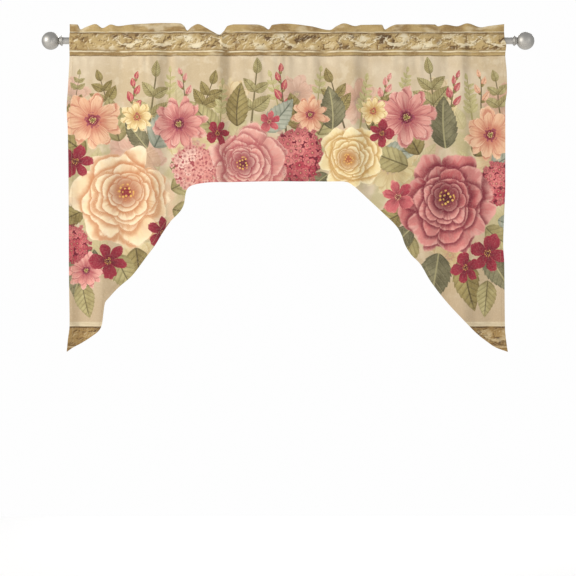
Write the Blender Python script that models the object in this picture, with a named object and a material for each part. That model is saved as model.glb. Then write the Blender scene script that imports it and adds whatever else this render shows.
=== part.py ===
"""Swag and tail drape: one cloth panel, hung by its rod pocket on a plain curtain rod with ball finials.

Metres, +Z up, +X to the viewer's right, the printed face towards -Y. The origin lies on the rod's
axis, halfway along it. The sizes below are in millimetres and are turned into metres as each mesh
is made. Run with: blender --background --python part.py
"""

import math

import bpy
from mathutils import Vector

MM = 0.001

# Rod and finials
ROD_RADIUS = 9.5
SEAT_GAP = 0.3                  # left between pieces that touch
SOCKET_DEPTH = 7.0              # of the rod's end inside the collar
BALL_RADIUS = 25.0
BALL_CENTRE = 661.5             # along the rod, from its middle
BALL_STEPS = 11
ROUND_SIDES = 24
COLLAR = (
    # from the ball's centre, radius
    (24.8, 9.1),
    (24.8, 11.0),
    (27.4, 11.5),
    (29.6, 13.8),
    (31.2, 14.6),
    (32.4, 13.9),
    (34.8, 11.0),
)
NECK_RADIUS = COLLAR[0][1]
COLLAR_END = COLLAR[-1][0]

# Cloth
CLOTH = 1.5                     # thickness of one layer
HALF_WIDTH = 607.0              # of the hung cloth, before its side edges sway
SWAY_REACH = 130.0              # how far in from a side edge that edge's sway is felt
SEAM_HEIGHT = 25.0              # upper row of stitching, above the rod's axis
SEAM_CLEAR = 4.5                # least cloth above that seam, where the ruffle dips
RUFFLE_ROOT = 0.15              # share of the ruffle's lean that starts at its seam
RUFFLE_CURL = 1.5               # how late the rest of the lean comes: 1 is straight
POCKET_DROP = -41.0             # lower row of stitching
TURNING_END = -48.0             # where the turned-back layer ends, under the pocket
TURNING_STEP = 2.0              # height over which it ends
HANG_FORWARD = 1.5              # the body's middle hangs this far in front of the rod's axis
FOLD_LENGTH = 345.0             # height over which the folds change from heading to hem

# How the pocket's two layers lie on the rod. A layer touches it where the fold stands no further
# out than this, and elsewhere stands off by this share of the rest.
FRONT_TOUCHES = -3.5
FRONT_SLACK = 0.4
BACK_TOUCHES = 3.0
BACK_SLACK = 0.35
NOTCH_EASE = 0.12               # how much further both stand off where the seam dips
TUNNEL_FULL = 0.93              # most of the tunnel's height that a layer's rounding may take
STRAIGHT_FALL = 0.35            # of the rounding, before a layer turns in towards the lower seam
POCKET_FALL = (
    # share of the way down, share of the way in
    (0.30, 0.33),
    (0.62, 0.74),
)

# Fineness of the cloth's faces
COLUMNS = 96
CROWD_AT_RUFFLE = 1.3           # how much closer the columns lie where these edges are steep
CROWD_AT_LOWER_EDGE = 0.35
HEADER_ROWS = 3
BODY_ROWS = 10

# Top edge of the ruffled header: place along the rod, height over the rod's axis, lean to the front
RUFFLE = (
    # x, height, forward
    (-607, 46, 3),
    (-585, 45, 2),
    (-578, 32, -3),
    (-563, 38, 0),
    (-535, 46, 5),
    (-517, 36, -3),
    (-493, 45, 4),
    (-475, 41, 0),
    (-446, 45, -4),
    (-412, 48, -5),
    (-360, 49, 2),
    (-301, 48, 6),
    (-289, 41, 2),
    (-281, 29, -4),
    (-270, 38, 0),
    (-251, 46, 5),
    (-228, 36, 2),
    (-208, 25, -3),
    (-191, 18, -6),
    (-180, 26, -2),
    (-168, 41, 4),
    (-148, 45, 6),
    (-86, 45, 3),
    (-67, 40, -1),
    (-54, 32, -5),
    (-44, 44, 2),
    (-8, 47, 6),
    (61, 41, 0),
    (117, 31, -6),
    (137, 42, -1),
    (156, 48, 5),
    (187, 41, 0),
    (206, 45, -4),
    (262, 45, 1),
    (270, 32, -4),
    (284, 39, 1),
    (304, 45, 5),
    (410, 46, -3),
    (418, 41, -5),
    (438, 45, 1),
    (471, 41, -3),
    (499, 48, 5),
    (541, 38, -3),
    (563, 41, 1),
    (607, 46, 3),
)

# Crests and troughs of the body, a row for each, in order along the rod. A fold moves sideways and
# changes its depth from the heading to the hem.
FOLDS = (
    # x at heading, x at hem, forward at heading, forward at hem
    (-607, -607, 5, 3),
    (-563, -578, 3, -4),
    (-524, -520, 0, 8),
    (-474, -455, -4, -7),
    (-371, -380, 9, 8),
    (-332, -335, -6, -6),
    (-307, -300, -1, 0),
    (-273, -262, -2, 2),
    (-192, -200, 10, 9),
    (-164, -160, -7, -7),
    (-120, -112, 2, 1),
    (-81, -70, 6, 6),
    (-64, -50, 1, 3),
    (-36, -20, 5, 4),
    (33, 40, -4, -6),
    (70, 75, -1, -1),
    (103, 108, -8, -6),
    (145, 150, 3, 3),
    (178, 186, 9, 9),
    (220, 232, -6, -7),
    (318, 306, 7, 8),
    (337, 330, 2, 3),
    (396, 388, 3, 4),
    (446, 440, -6, -8),
    (482, 492, 6, 8),
    (510, 528, -5, 0),
    (549, 566, -1, -5),
    (607, 607, 2, 4),
)

# Lower edge: the left tail, the straight swag between the tails, then the right tail
LOWER_EDGE = (
    # x, z
    (-607, -867),
    (-593, -856),
    (-568, -841),
    (-543, -823),
    (-524, -806),
    (-517, -789),
    (-513, -756),
    (-509, -730),
    (-499, -717),
    (-474, -689),
    (-435, -655),
    (-396, -605),
    (-371, -572),
    (-351, -538),
    (-329, -505),
    (-298, -472),
    (-289, -452),
    (-286, -430),
    (-282, -415),
    (-273, -406),
    (-251, -399),
    (-212, -395),
    (0, -392),
    (145, -392),
    (164, -394),
    (178, -402),
    (201, -421),
    (273, -488),
    (304, -520),
    (316, -541),
    (326, -569),
    (343, -596),
    (368, -622),
    (398, -672),
    (516, -806),
    (555, -839),
    (577, -855),
    (607, -867),
)

# How far each side edge sways outwards from HALF_WIDTH, down its height
LEFT_SWAY = (
    # z, outwards
    (-867, 9),
    (-835, 6),
    (-790, 1),
    (-640, 3),
    (-400, 4),
    (-250, 6),
    (-188, 9),
    (-140, 6),
    (-88, 3),
    (-40, 1),
    (50, 1),
)
RIGHT_SWAY = (
    # z, outwards
    (-867, 5),
    (-848, 2),
    (-800, -3),
    (-620, -5),
    (-570, -8),
    (-480, -5),
    (-400, -2),
    (-180, -2),
    (-137, 3),
    (-88, 2),
    (-40, -2),
    (-14, 0),
    (4, -5),
    (50, -5),
)

BRUSHED_NICKEL = (0.56, 0.55, 0.53, 1.0)
PRINTED_CLOTH = (0.78, 0.66, 0.50, 1.0)


def slopes(table):
    """The slope at each row of an (x, y) table, kept flat at its peaks so that a curve never overshoots."""
    steps = [(b[1] - a[1]) / (b[0] - a[0]) for a, b in zip(table, table[1:])]
    inner = [0.0 if a * b <= 0 else 2 * a * b / (a + b) for a, b in zip(steps, steps[1:])]
    return [steps[0], *inner, steps[-1]]


def smooth_curve(table):
    """A function that reads a smooth curve through the rows of an (x, y) table."""
    lean = slopes(table)

    def read(x):
        x = min(max(x, table[0][0]), table[-1][0])
        i = next(k for k in range(len(table) - 1) if x <= table[k + 1][0])
        (x0, y0), (x1, y1) = table[i], table[i + 1]
        width = x1 - x0
        t = (x - x0) / width
        rise = (2 * t - 3) * t * t + 1
        return (
            rise * y0
            + (1 - rise) * y1
            + (((t - 2) * t + 1) * t * lean[i] + (t - 1) * t * t * lean[i + 1]) * width
        )

    return read


def ease(t):
    """A soft step from 0 to 1."""
    t = min(max(t, 0.0), 1.0)
    return t * t * (3 - 2 * t)


ruffle_height = smooth_curve([(x, height) for x, height, _ in RUFFLE])
ruffle_lean = smooth_curve([(x, forward) for x, _, forward in RUFFLE])
lower_edge = smooth_curve(LOWER_EDGE)
left_sway = smooth_curve(LEFT_SWAY)
right_sway = smooth_curve(RIGHT_SWAY)


def fold(x, z):
    """How far the cloth's middle stands forward at a place along the rod and a height."""
    down = ease((POCKET_DROP - z) / FOLD_LENGTH)
    rows = [
        (head + (hem - head) * down, out + (low - out) * down) for head, hem, out, low in FOLDS
    ]
    for (x0, f0), (x1, f1) in zip(rows, rows[1:]):
        if x <= x1:
            return f0 + (f1 - f0) * ease((x - x0) / (x1 - x0))
    return rows[-1][1]


def sideways(x, z):
    """The place of a column once the side edges sway."""
    near_left = ease((x + HALF_WIDTH - SWAY_REACH) / -SWAY_REACH)
    near_right = ease((HALF_WIDTH - SWAY_REACH - x) / -SWAY_REACH)
    return x - near_left * left_sway(z) + near_right * right_sway(z)


def column_places():
    """The columns' places along the rod, closer together where the ruffle or the lower edge is steep."""
    count = int(2 * HALF_WIDTH)
    spots = [-HALF_WIDTH + i for i in range(count + 1)]
    reach = [0.0]
    for x0, x1 in zip(spots, spots[1:]):
        ruffle = CROWD_AT_RUFFLE * (ruffle_height(x1) - ruffle_height(x0))
        hem = CROWD_AT_LOWER_EDGE * (lower_edge(x1) - lower_edge(x0))
        reach.append(reach[-1] + math.hypot(x1 - x0, ruffle, hem))
    place = smooth_curve(list(zip(reach, spots)))
    return [place(reach[-1] * i / COLUMNS) for i in range(COLUMNS + 1)]


def header(x, top, seam):
    """The ruffle's front and back skins in one column, from its top edge down to its seam."""
    lean = -ruffle_lean(x)
    root = lean * RUFFLE_ROOT
    front, back = [], []
    for i in range(HEADER_ROWS):
        up = 1 - i / (HEADER_ROWS - 1)
        middle = root + (lean - root) * up**RUFFLE_CURL
        height = seam + (top - seam) * up
        front.append((middle - CLOTH, height))
        back.append((middle + CLOTH, height))
    return front, back


def pocket_layer(start, stand_off, end, side):
    """One of the pocket's layers, as its inner and outer skins, from the upper seam to the lower one.

    The layer leaves the seam, touches a round of radius stand_off, and falls in towards end.
    """
    start_y, start_z = start
    reach = math.hypot(start_y, start_z)
    touch = math.atan2(start_z, start_y * side) - math.acos(stand_off / reach)
    y = side * stand_off
    straight = -STRAIGHT_FALL * stand_off
    inner = [(y, stand_off * math.tan(touch / 2)), (y, straight)]
    for down, inwards in POCKET_FALL:
        inner.append((y + (end - y) * inwards, straight + (POCKET_DROP - straight) * down))
    rise = CLOTH * math.tan(touch / 2)
    outer = [(a + side * CLOTH, b) for a, b in inner]
    outer[0] = (outer[0][0], inner[0][1] + rise)
    return inner, outer


def section(x):
    """The cloth's cross-section in one column: its front skin, its back skin and the pocket's inside.

    Each is a list of (y, z), from the top edge down. The inside goes down its front and up its back.
    """
    top = ruffle_height(x)
    seam = min(SEAM_HEIGHT, top - SEAM_CLEAR)
    front, back = header(x, top, seam)

    forward = fold(x, POCKET_DROP)
    joined = -HANG_FORWARD - forward
    start = (-ruffle_lean(x) * RUFFLE_ROOT, seam - CLOTH)
    rest = ROD_RADIUS + SEAT_GAP + NOTCH_EASE * (SEAM_HEIGHT - seam)
    most = TUNNEL_FULL * start[1]
    front_off = min(rest + max(0.0, FRONT_SLACK * (forward - FRONT_TOUCHES)), most)
    back_off = min(rest + max(0.0, BACK_SLACK * (BACK_TOUCHES - forward)), most)
    front_inner, front_outer = pocket_layer(start, front_off, joined, -1)
    back_inner, back_outer = pocket_layer(start, back_off, joined, 1)
    inside = [start, *front_inner, (joined, POCKET_DROP), *reversed(back_inner)]
    front += front_outer
    back += back_outer

    # Two layers from the lower seam to the turning's end, then one down to the lower edge
    for height in (POCKET_DROP, TURNING_END + TURNING_STEP):
        middle = -HANG_FORWARD - fold(x, height)
        front.append((middle - CLOTH, height))
        back.append((middle + CLOTH, height))
    bottom = lower_edge(x)
    for i in range(BODY_ROWS + 1):
        height = TURNING_END + (bottom - TURNING_END) * i / BODY_ROWS
        middle = -HANG_FORWARD - fold(x, height)
        front.append((middle - CLOTH, height))
        back.append((middle, height))
    return front, back, inside


def add_object(name, mesh, colour, metallic, roughness):
    """Links a mesh as an object of this name, with its own Principled material."""
    material = bpy.data.materials.new(name)
    material.use_nodes = True
    shader = material.node_tree.nodes["Principled BSDF"]
    shader.inputs["Base Color"].default_value = colour
    shader.inputs["Metallic"].default_value = metallic
    shader.inputs["Roughness"].default_value = roughness
    mesh.materials.append(material)
    made = bpy.data.objects.new(name, mesh)
    bpy.context.scene.collection.objects.link(made)
    return made


def split(a, b, c, d):
    """Two triangles for a four-cornered patch, always cut along the same diagonal."""
    return [(a, b, c), (a, c, d)]


def make_drape():
    """One closed solid: header, pocket with its tunnel, swag and both tails."""
    places = column_places()
    sections = [section(x) for x in places]
    rows = len(sections[0][0])
    ring = len(sections[0][2])
    per_column = 2 * rows + ring
    points = [
        Vector((sideways(x, z), y, z)) * MM
        for x, parts in zip(places, sections)
        for part in parts
        for y, z in part
    ]

    def front(column, row):
        return column * per_column + row

    def back(column, row):
        return column * per_column + rows + row

    def inside(column, row):
        return column * per_column + 2 * rows + row % ring

    faces = []
    last = len(places) - 1
    for i in range(last):
        for j in range(rows - 1):
            faces += split(front(i, j), front(i, j + 1), front(i + 1, j + 1), front(i + 1, j))
            faces += [
                tuple(reversed(face))
                for face in split(back(i, j), back(i, j + 1), back(i + 1, j + 1), back(i + 1, j))
            ]
        faces += split(back(i, 0), front(i, 0), front(i + 1, 0), back(i + 1, 0))
        low = rows - 1
        faces += split(front(i, low), back(i, low), back(i + 1, low), front(i + 1, low))
        for k in range(ring):
            faces += split(
                inside(i, k), inside(i + 1, k), inside(i + 1, k + 1), inside(i, k + 1)
            )
    faces += side_cap(0, front, back, inside, rows, ring, False)
    faces += side_cap(last, front, back, inside, rows, ring, True)
    mesh = bpy.data.meshes.new("drape")
    mesh.from_pydata(points, [], faces)
    mesh.shade_smooth()
    mesh.set_sharp_from_angle(angle=math.radians(50))
    return add_object("drape", mesh, PRINTED_CLOTH, 0.0, 0.75)


def side_cap(column, front, back, inside, rows, ring, turned):
    """The cut edge of the cloth at one side, left open at the pocket's tunnel."""
    seam = HEADER_ROWS - 1
    half = ring // 2
    low = seam + half
    faces = []
    for j in range(rows - 1):
        a, b, c, d = front(column, j), back(column, j), back(column, j + 1), front(column, j + 1)
        if j == seam - 1:
            faces.append((a, b, c, inside(column, 0), d))
        elif j == low:
            faces.append((a, inside(column, half), b, c, d))
        elif j < seam or j > low:
            faces.append((a, b, c, d))
        else:
            k = j - seam
            faces.append((a, inside(column, k), inside(column, k + 1), d))
            faces.append((inside(column, -k), b, c, inside(column, -k - 1)))
    return [tuple(reversed(face)) for face in faces] if turned else faces


def turned(name, profile):
    """A nickel solid turned about X. Its profile, of (distance along X, radius), starts and ends on the axis."""
    sides = ROUND_SIDES
    points, faces, rings = [], [], []
    for along, radius in profile:
        count = sides if radius else 1
        rings.append(range(len(points), len(points) + count))
        for i in range(count):
            angle = 2 * math.pi * i / sides
            points.append(Vector((along, radius * math.cos(angle), radius * math.sin(angle))) * MM)
    for near, far in zip(rings, rings[1:]):
        for i in range(sides):
            j = (i + 1) % sides
            if len(near) == 1:
                faces.append((near[0], far[j], far[i]))
            elif len(far) == 1:
                faces.append((near[i], near[j], far[0]))
            else:
                faces.append((near[i], near[j], far[j], far[i]))
    mesh = bpy.data.meshes.new(name)
    mesh.from_pydata(points, [], faces)
    mesh.shade_smooth()
    mesh.set_sharp_from_angle(angle=math.radians(35))
    return add_object(name, mesh, BRUSHED_NICKEL, 1.0, 0.32)


def make_rod():
    """A plain round bar that reaches into both finials' collars."""
    end = BALL_CENTRE - COLLAR_END + SOCKET_DEPTH - SEAT_GAP
    profile = [(-end, 0), (-end, ROD_RADIUS), (end, ROD_RADIUS), (end, 0)]
    return turned("rod", profile)


def make_finial(name, side):
    """Ball, neck and flared collar in one turned piece, with a socket for the rod's end."""
    neck = math.asin(NECK_RADIUS / BALL_RADIUS)
    ball = [(-BALL_RADIUS, 0)]
    for i in range(1, BALL_STEPS + 1):
        angle = (math.pi - neck) * i / BALL_STEPS
        ball.append((-BALL_RADIUS * math.cos(angle), BALL_RADIUS * math.sin(angle)))
    wall = ROD_RADIUS + SEAT_GAP
    floor = COLLAR_END - SOCKET_DEPTH
    socket = [(COLLAR_END, wall), (floor, wall), (floor, 0)]
    made = turned(name, [*ball, *COLLAR, *socket])
    if side > 0:
        made.rotation_euler = (0, 0, math.pi)
    made.location = (side * BALL_CENTRE * MM, 0, 0)
    return made


def main():
    for old in list(bpy.data.objects):
        bpy.data.objects.remove(old)
    make_drape()
    make_rod()
    make_finial("finial_left", -1)
    make_finial("finial_right", 1)


main()
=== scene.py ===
"""Looks of a swag and tail drape on a curtain rod: its printed cloth, stitching, rod and finials.

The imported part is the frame. Sizes are in millimetres, and turn into metres as each mesh is made.
+X is the viewer's right, +Z is up, and the printed face looks towards -Y.
"""

import math

import bpy
import numpy as np
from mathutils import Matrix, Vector


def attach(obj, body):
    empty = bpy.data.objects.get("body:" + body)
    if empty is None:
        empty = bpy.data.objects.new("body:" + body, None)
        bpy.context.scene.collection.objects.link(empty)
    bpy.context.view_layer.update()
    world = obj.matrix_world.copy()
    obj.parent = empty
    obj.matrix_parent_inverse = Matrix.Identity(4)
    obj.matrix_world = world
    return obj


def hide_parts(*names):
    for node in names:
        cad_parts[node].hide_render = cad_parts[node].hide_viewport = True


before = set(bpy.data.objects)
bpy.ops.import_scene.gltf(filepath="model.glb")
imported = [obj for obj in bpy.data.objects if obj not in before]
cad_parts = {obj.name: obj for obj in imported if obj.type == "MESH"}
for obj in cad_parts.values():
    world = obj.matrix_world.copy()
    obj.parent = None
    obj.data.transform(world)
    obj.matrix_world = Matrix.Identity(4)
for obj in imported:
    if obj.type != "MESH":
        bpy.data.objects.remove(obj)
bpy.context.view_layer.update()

MM = 0.001

# ---- Sizes shared with the part

ROD_RADIUS = 9.5
SEAT_GAP = 0.3                  # round the rod in its pocket and in its sockets
SOCKET_DEPTH = 7.0
BALL_RADIUS = 25.0
BALL_CENTRE = 661.5
COLLAR_END = 34.8               # from the ball's centre

CLOTH = 1.5                     # a layer at the heading, its seam turnings included
HALF_WIDTH = 607.0
SWAY_REACH = 130.0              # from a side edge to where its sway has faded
SEAM_HEIGHT = 25.0
SEAM_CLEAR = 4.5                # cloth that stays over the upper seam
RUFFLE_ROOT = 0.15              # share of the ruffle's lean at its seam
RUFFLE_CURL = 1.5
POCKET_DROP = -41.0
TURNING_END = -48.0
TURNING_STEP = 2.0
HANG_FORWARD = 1.5
FOLD_LENGTH = 345.0
FRONT_TOUCHES = -3.5            # how far forward a fold is where the pocket's layer leaves the rod
FRONT_SLACK = 0.4
BACK_TOUCHES = 3.0
BACK_SLACK = 0.35
NOTCH_EASE = 0.12
TUNNEL_FULL = 0.93
STRAIGHT_FALL = 0.35
POCKET_FALL = ((0.30, 0.33), (0.62, 0.74))      # share of the way down, share of the way in

# Top edge of the ruffled header: x, height over the rod's axis, lean to the front
RUFFLE = (
    (-607, 46, 3), (-585, 45, 2), (-578, 32, -3), (-563, 38, 0), (-535, 46, 5),
    (-517, 36, -3), (-493, 45, 4), (-475, 41, 0), (-446, 45, -4), (-412, 48, -5),
    (-360, 49, 2), (-301, 48, 6), (-289, 41, 2), (-281, 29, -4), (-270, 38, 0),
    (-251, 46, 5), (-228, 36, 2), (-208, 25, -3), (-191, 18, -6), (-180, 26, -2),
    (-168, 41, 4), (-148, 45, 6), (-86, 45, 3), (-67, 40, -1), (-54, 32, -5),
    (-44, 44, 2), (-8, 47, 6), (61, 41, 0), (117, 31, -6), (137, 42, -1),
    (156, 48, 5), (187, 41, 0), (206, 45, -4), (262, 45, 1), (270, 32, -4),
    (284, 39, 1), (304, 45, 5), (410, 46, -3), (418, 41, -5), (438, 45, 1),
    (471, 41, -3), (499, 48, 5), (541, 38, -3), (563, 41, 1), (607, 46, 3),
)
# Main creases, a crest or a trough each: x at heading, x at hem, forward at heading, forward at hem
FOLDS = (
    (-607, -607, 5, 3), (-563, -578, 3, -4), (-524, -520, 0, 8), (-474, -455, -4, -7),
    (-371, -380, 9, 8), (-332, -335, -6, -6), (-307, -300, -1, 0), (-273, -262, -2, 2),
    (-192, -200, 10, 9), (-164, -160, -7, -7), (-120, -112, 2, 1), (-81, -70, 6, 6),
    (-64, -50, 1, 3), (-36, -20, 5, 4), (33, 40, -4, -6), (70, 75, -1, -1),
    (103, 108, -8, -6), (145, 150, 3, 3), (178, 186, 9, 9), (220, 232, -6, -7),
    (318, 306, 7, 8), (337, 330, 2, 3), (396, 388, 3, 4), (446, 440, -6, -8),
    (482, 492, 6, 8), (510, 528, -5, 0), (549, 566, -1, -5), (607, 607, 2, 4),
)
# Lower edge, the left tail, the straight swag, then the right tail: x, z
LOWER_EDGE = (
    (-607, -867), (-593, -856), (-568, -841), (-543, -823), (-524, -806), (-517, -789),
    (-513, -756), (-509, -730), (-499, -717), (-474, -689), (-435, -655), (-396, -605),
    (-371, -572), (-351, -538), (-329, -505), (-298, -472), (-289, -452), (-286, -430),
    (-282, -415), (-273, -406), (-251, -399), (-212, -395), (0, -392), (145, -392),
    (164, -394), (178, -402), (201, -421), (273, -488), (304, -520), (316, -541),
    (326, -569), (343, -596), (368, -622), (398, -672), (516, -806), (555, -839),
    (577, -855), (607, -867),
)
# How far the side edges sway outwards: z, outwards
LEFT_SWAY = (
    (-867, 9), (-835, 6), (-790, 1), (-640, 3), (-400, 4), (-250, 6),
    (-188, 9), (-140, 6), (-88, 3), (-40, 1), (50, 1),
)
RIGHT_SWAY = (
    (-867, 5), (-848, 2), (-800, -3), (-620, -5), (-570, -8), (-480, -5), (-400, -2),
    (-180, -2), (-137, 3), (-88, 2), (-40, -2), (-14, 0), (4, -5), (50, -5),
)

# ---- Sizes of the looks alone

BODY_CLOTH = 0.9                # one layer of the body
HEM_WIDTH = 10.0                # the narrow turned hem round the sides and the lower edge
HEM_CLOTH = 0.7                 # what its turning adds behind
HEM_STEP = 1.2                  # over which the turning starts
HEM_GROOVE = 0.25               # how deep its stitching lies
GROOVE_HALF = 0.8               # half the width of that groove
GROOVE_INSET = 1.0              # from the hem's inner edge to it
SLOPE_HALF = 1.5                # half the stretch that the lower edge's lean is read over
MOST_LEAN = 5.0                 # the steepest that the hem's rows follow the lower edge
SEEN_EDGE = 0.55                # share of its thickness that the lower edge keeps
TOP_EDGE = 0.45                 # the same for the ruffle's top edge
EDGE_ROUND = 0.8                # over which a folded edge rounds off
COLUMN_STEP = 4.6               # between columns where nothing is steep
CROWD_AT_RUFFLE = 1.3
CROWD_AT_LOWER_EDGE = 0.35
HEADER_STEPS = 7                # from the top edge to the upper seam, so also that seam's row
POCKET_STEPS = 3                # to each stretch of the pocket's section
BODY_STEPS = 84
HEM_ROWS = (14.0, 11.6, 10.4, 9.4, 5.0, 1.6, 0.5, 0.0)      # in from the edge
STITCHED_ROW = 3                # of the hem's rows
HEM_CLEAR = 2.0                 # from the hem's columns to the nearest other one
SPREAD_LEVEL = -60.0            # where the cloth's width is measured along its folds
TUNNEL_PLACE = 60.0             # how far up the print the tunnel's inside is read, unseen

SEAM_SINK = 0.5                 # how far a row of stitching draws the cloth in
SEAM_PULL = 3.0                 # half the width over which it does
RIPPLE = 0.55                   # height of the pocket's small ripples
RIPPLE_START = 2.0              # from a seam to where they are at their full height
RIPPLE_REACH = 14.0             # from a seam to where they end
FACES_APART = 4.0               # how far the front's ripples and the back's lie from the seam's own
GATHER_DEPTH = 2.5              # of the gathers that fan out under the lower seam
GATHER_START = 10.0             # from the seam to where they are at their full depth
GATHER_FADE = 36.0
HEADER_GATHER = 1.4             # the same over the upper seam
HEADER_FADE = 0.45              # share of it that is lost at the ruffle's top edge
FLUTTER = 1.3                   # of the loose lower edge
FLUTTER_REACH = 90.0
FLUTTER_WAVE = 34.0
CREASE_START = 0.125            # share of a short crease's length over which it deepens

# Short creases that the folds' own table is too coarse for: x and z at the top,
# x and z at the bottom, half width, depth
CREASES = (
    (-352, -46, -343, -190, 7, 2.2), (-168, -46, -174, -160, 6, 2.4),
    (-150, -46, -140, -120, 5, 1.6), (-74, -46, -70, -170, 4.5, 2.8),
    (88, -46, 97, -150, 5, 2.6), (196, -46, 205, -185, 7, 2.2),
    (262, -46, 250, -110, 6, 1.2), (424, -46, 430, -150, 6, 1.6),
    (496, -46, 503, -200, 6, 1.8), (-430, -46, -441, -140, 7, 1.3),
    (-590, -60, -578, -210, 6, 1.5), (-20, -46, -8, -105, 5, 1.2),
    (350, -46, 362, -120, 6, 1.2),
)

# ---- Curves


def bend(t, start, end, lean_in, lean_out):
    """A smooth run from start to end, read at t from 0 to 1, by its leans at both."""
    rise = (2 * t - 3) * t * t + 1
    leans = ((t - 2) * t + 1) * t * lean_in + (t - 1) * t * t * lean_out
    return rise * start + (1 - rise) * end + leans


def smooth_curve(table):
    """A function that reads a smooth curve through an (x, y) table. It never overshoots a row."""
    steps = [(b[1] - a[1]) / (b[0] - a[0]) for a, b in zip(table, table[1:])]
    inner = [0.0 if a * b <= 0 else 2 * a * b / (a + b) for a, b in zip(steps, steps[1:])]
    leans = [steps[0], *inner, steps[-1]]

    def read(x):
        x = min(max(x, table[0][0]), table[-1][0])
        i = next(k for k in range(len(table) - 1) if x <= table[k + 1][0])
        (x0, y0), (x1, y1) = table[i], table[i + 1]
        width = x1 - x0
        return bend((x - x0) / width, y0, y1, width * leans[i], width * leans[i + 1])

    return read


def rounded(points, steps):
    """A smooth run through (y, z) points, its ends kept, with this many steps to a stretch."""
    points = [np.array(point) for point in points]
    spans = [math.dist(a, b) for a, b in zip(points, points[1:])]
    sides = [(b - a) / span for a, b, span in zip(points, points[1:], spans)]
    inner = [
        (side * after + next_side * before) / (before + after)
        for side, next_side, before, after in zip(sides, sides[1:], spans, spans[1:])
    ]
    leans = [sides[0], *inner, sides[-1]]
    run = [points[0]]
    for i, span in enumerate(spans):
        for step in range(1, steps + 1):
            ends = points[i], points[i + 1], span * leans[i], span * leans[i + 1]
            run.append(bend(step / steps, *ends))
    return [tuple(point) for point in run]


def reaches(run):
    """How far along a run of points each of them lies."""
    return [0.0, *np.cumsum([math.dist(a, b) for a, b in zip(run, run[1:])])]


def ease(t):
    """A soft step from 0 to 1."""
    t = min(max(t, 0.0), 1.0)
    return t * t * (3 - 2 * t)


ruffle_height = smooth_curve([(x, height) for x, height, _ in RUFFLE])
ruffle_lean = smooth_curve([(x, forward) for x, _, forward in RUFFLE])
lower_edge = smooth_curve(LOWER_EDGE)
left_sway = smooth_curve(LEFT_SWAY)
right_sway = smooth_curve(RIGHT_SWAY)

# ---- The cloth's hung shape


def fold(x, z):
    """How far the main creases bring the cloth's middle forward."""
    down = ease((POCKET_DROP - z) / FOLD_LENGTH)
    last = None
    for top_x, low_x, top_forward, low_forward in FOLDS:
        place = top_x + (low_x - top_x) * down
        forward = top_forward + (low_forward - top_forward) * down
        if last and x <= place:
            return last[1] + (forward - last[1]) * ease((x - last[0]) / (place - last[0]))
        last = place, forward
    return last[1]


def gather(x):
    """The uneven small gathers along a row of stitching, from -1 to 1."""
    wander = x / 5.6 + 1.9 * math.sin(x / 31.0) + 1.1 * math.sin(x / 12.3 + 1.0)
    return math.sin(wander) * (0.62 + 0.38 * math.sin(x / 57.0 + 2.0))


def short_creases(x, z):
    """How far back the short creases draw the cloth."""
    back = 0.0
    for x0, z0, x1, z1, half, depth in CREASES:
        down = (z0 - z) / (z0 - z1)
        off = (x - x0 - (x1 - x0) * down) / half
        if 0 < down < 1 and abs(off) < 3:
            back += depth * math.exp(-off * off) * ease(down / CREASE_START) * (1 - ease(down))
    return back


def body_forward(x, z):
    """How far the hung body stands forward, with its creases, gathers and loose lower edge."""
    fade = math.exp((z - POCKET_DROP) / GATHER_FADE) * ease((POCKET_DROP - z) / GATHER_START)
    loose = ease(1 - (z - lower_edge(x)) / FLUTTER_REACH)
    flutter = FLUTTER * loose * math.sin(x / FLUTTER_WAVE + 0.8)
    return fold(x, z) + GATHER_DEPTH * gather(x) * fade - short_creases(x, z) + flutter


def sideways(x, z):
    """The place of a column once the side edges sway."""
    near_left = ease((x + HALF_WIDTH - SWAY_REACH) / -SWAY_REACH)
    near_right = ease((HALF_WIDTH - SWAY_REACH - x) / -SWAY_REACH)
    return x - near_left * left_sway(z) + near_right * right_sway(z)


def column_places():
    """The columns' places along the rod, closer where an edge is steep and at the side hems."""
    spots = [-HALF_WIDTH + i for i in range(int(2 * HALF_WIDTH) + 1)]
    track = [
        (x, CROWD_AT_RUFFLE * ruffle_height(x), CROWD_AT_LOWER_EDGE * lower_edge(x)) for x in spots
    ]
    reach = reaches(track)
    place = smooth_curve(list(zip(reach, spots)))
    columns = round(reach[-1] / COLUMN_STEP)
    inner = [place(reach[-1] * i / columns) for i in range(columns + 1)]
    hems = [side * (HALF_WIDTH - off) for side in (-1, 1) for off in HEM_ROWS]
    limit = HALF_WIDTH - HEM_ROWS[0] - HEM_CLEAR
    return sorted([x for x in inner if abs(x) < limit] + hems)


def header(x, top, seam):
    """The ruffle's front and back skins in one column, from its top edge down to its seam."""
    lean = -ruffle_lean(x)
    root = lean * RUFFLE_ROOT
    under_edge = 1 - EDGE_ROUND / (top - seam)
    heights = [1.0] + [under_edge * (1 - i / (HEADER_STEPS - 1)) for i in range(HEADER_STEPS)]
    front, back = [], []
    for i, up in enumerate(heights):
        middle = root + (lean - root) * up**RUFFLE_CURL
        middle -= HEADER_GATHER * gather(x) * up * (1 - HEADER_FADE * up)
        half = CLOTH * (TOP_EDGE if i == 0 else 1.0)
        height = seam + (top - seam) * up
        front.append((middle - half, height))
        back.append((middle + half, height))
    return front, back


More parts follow.
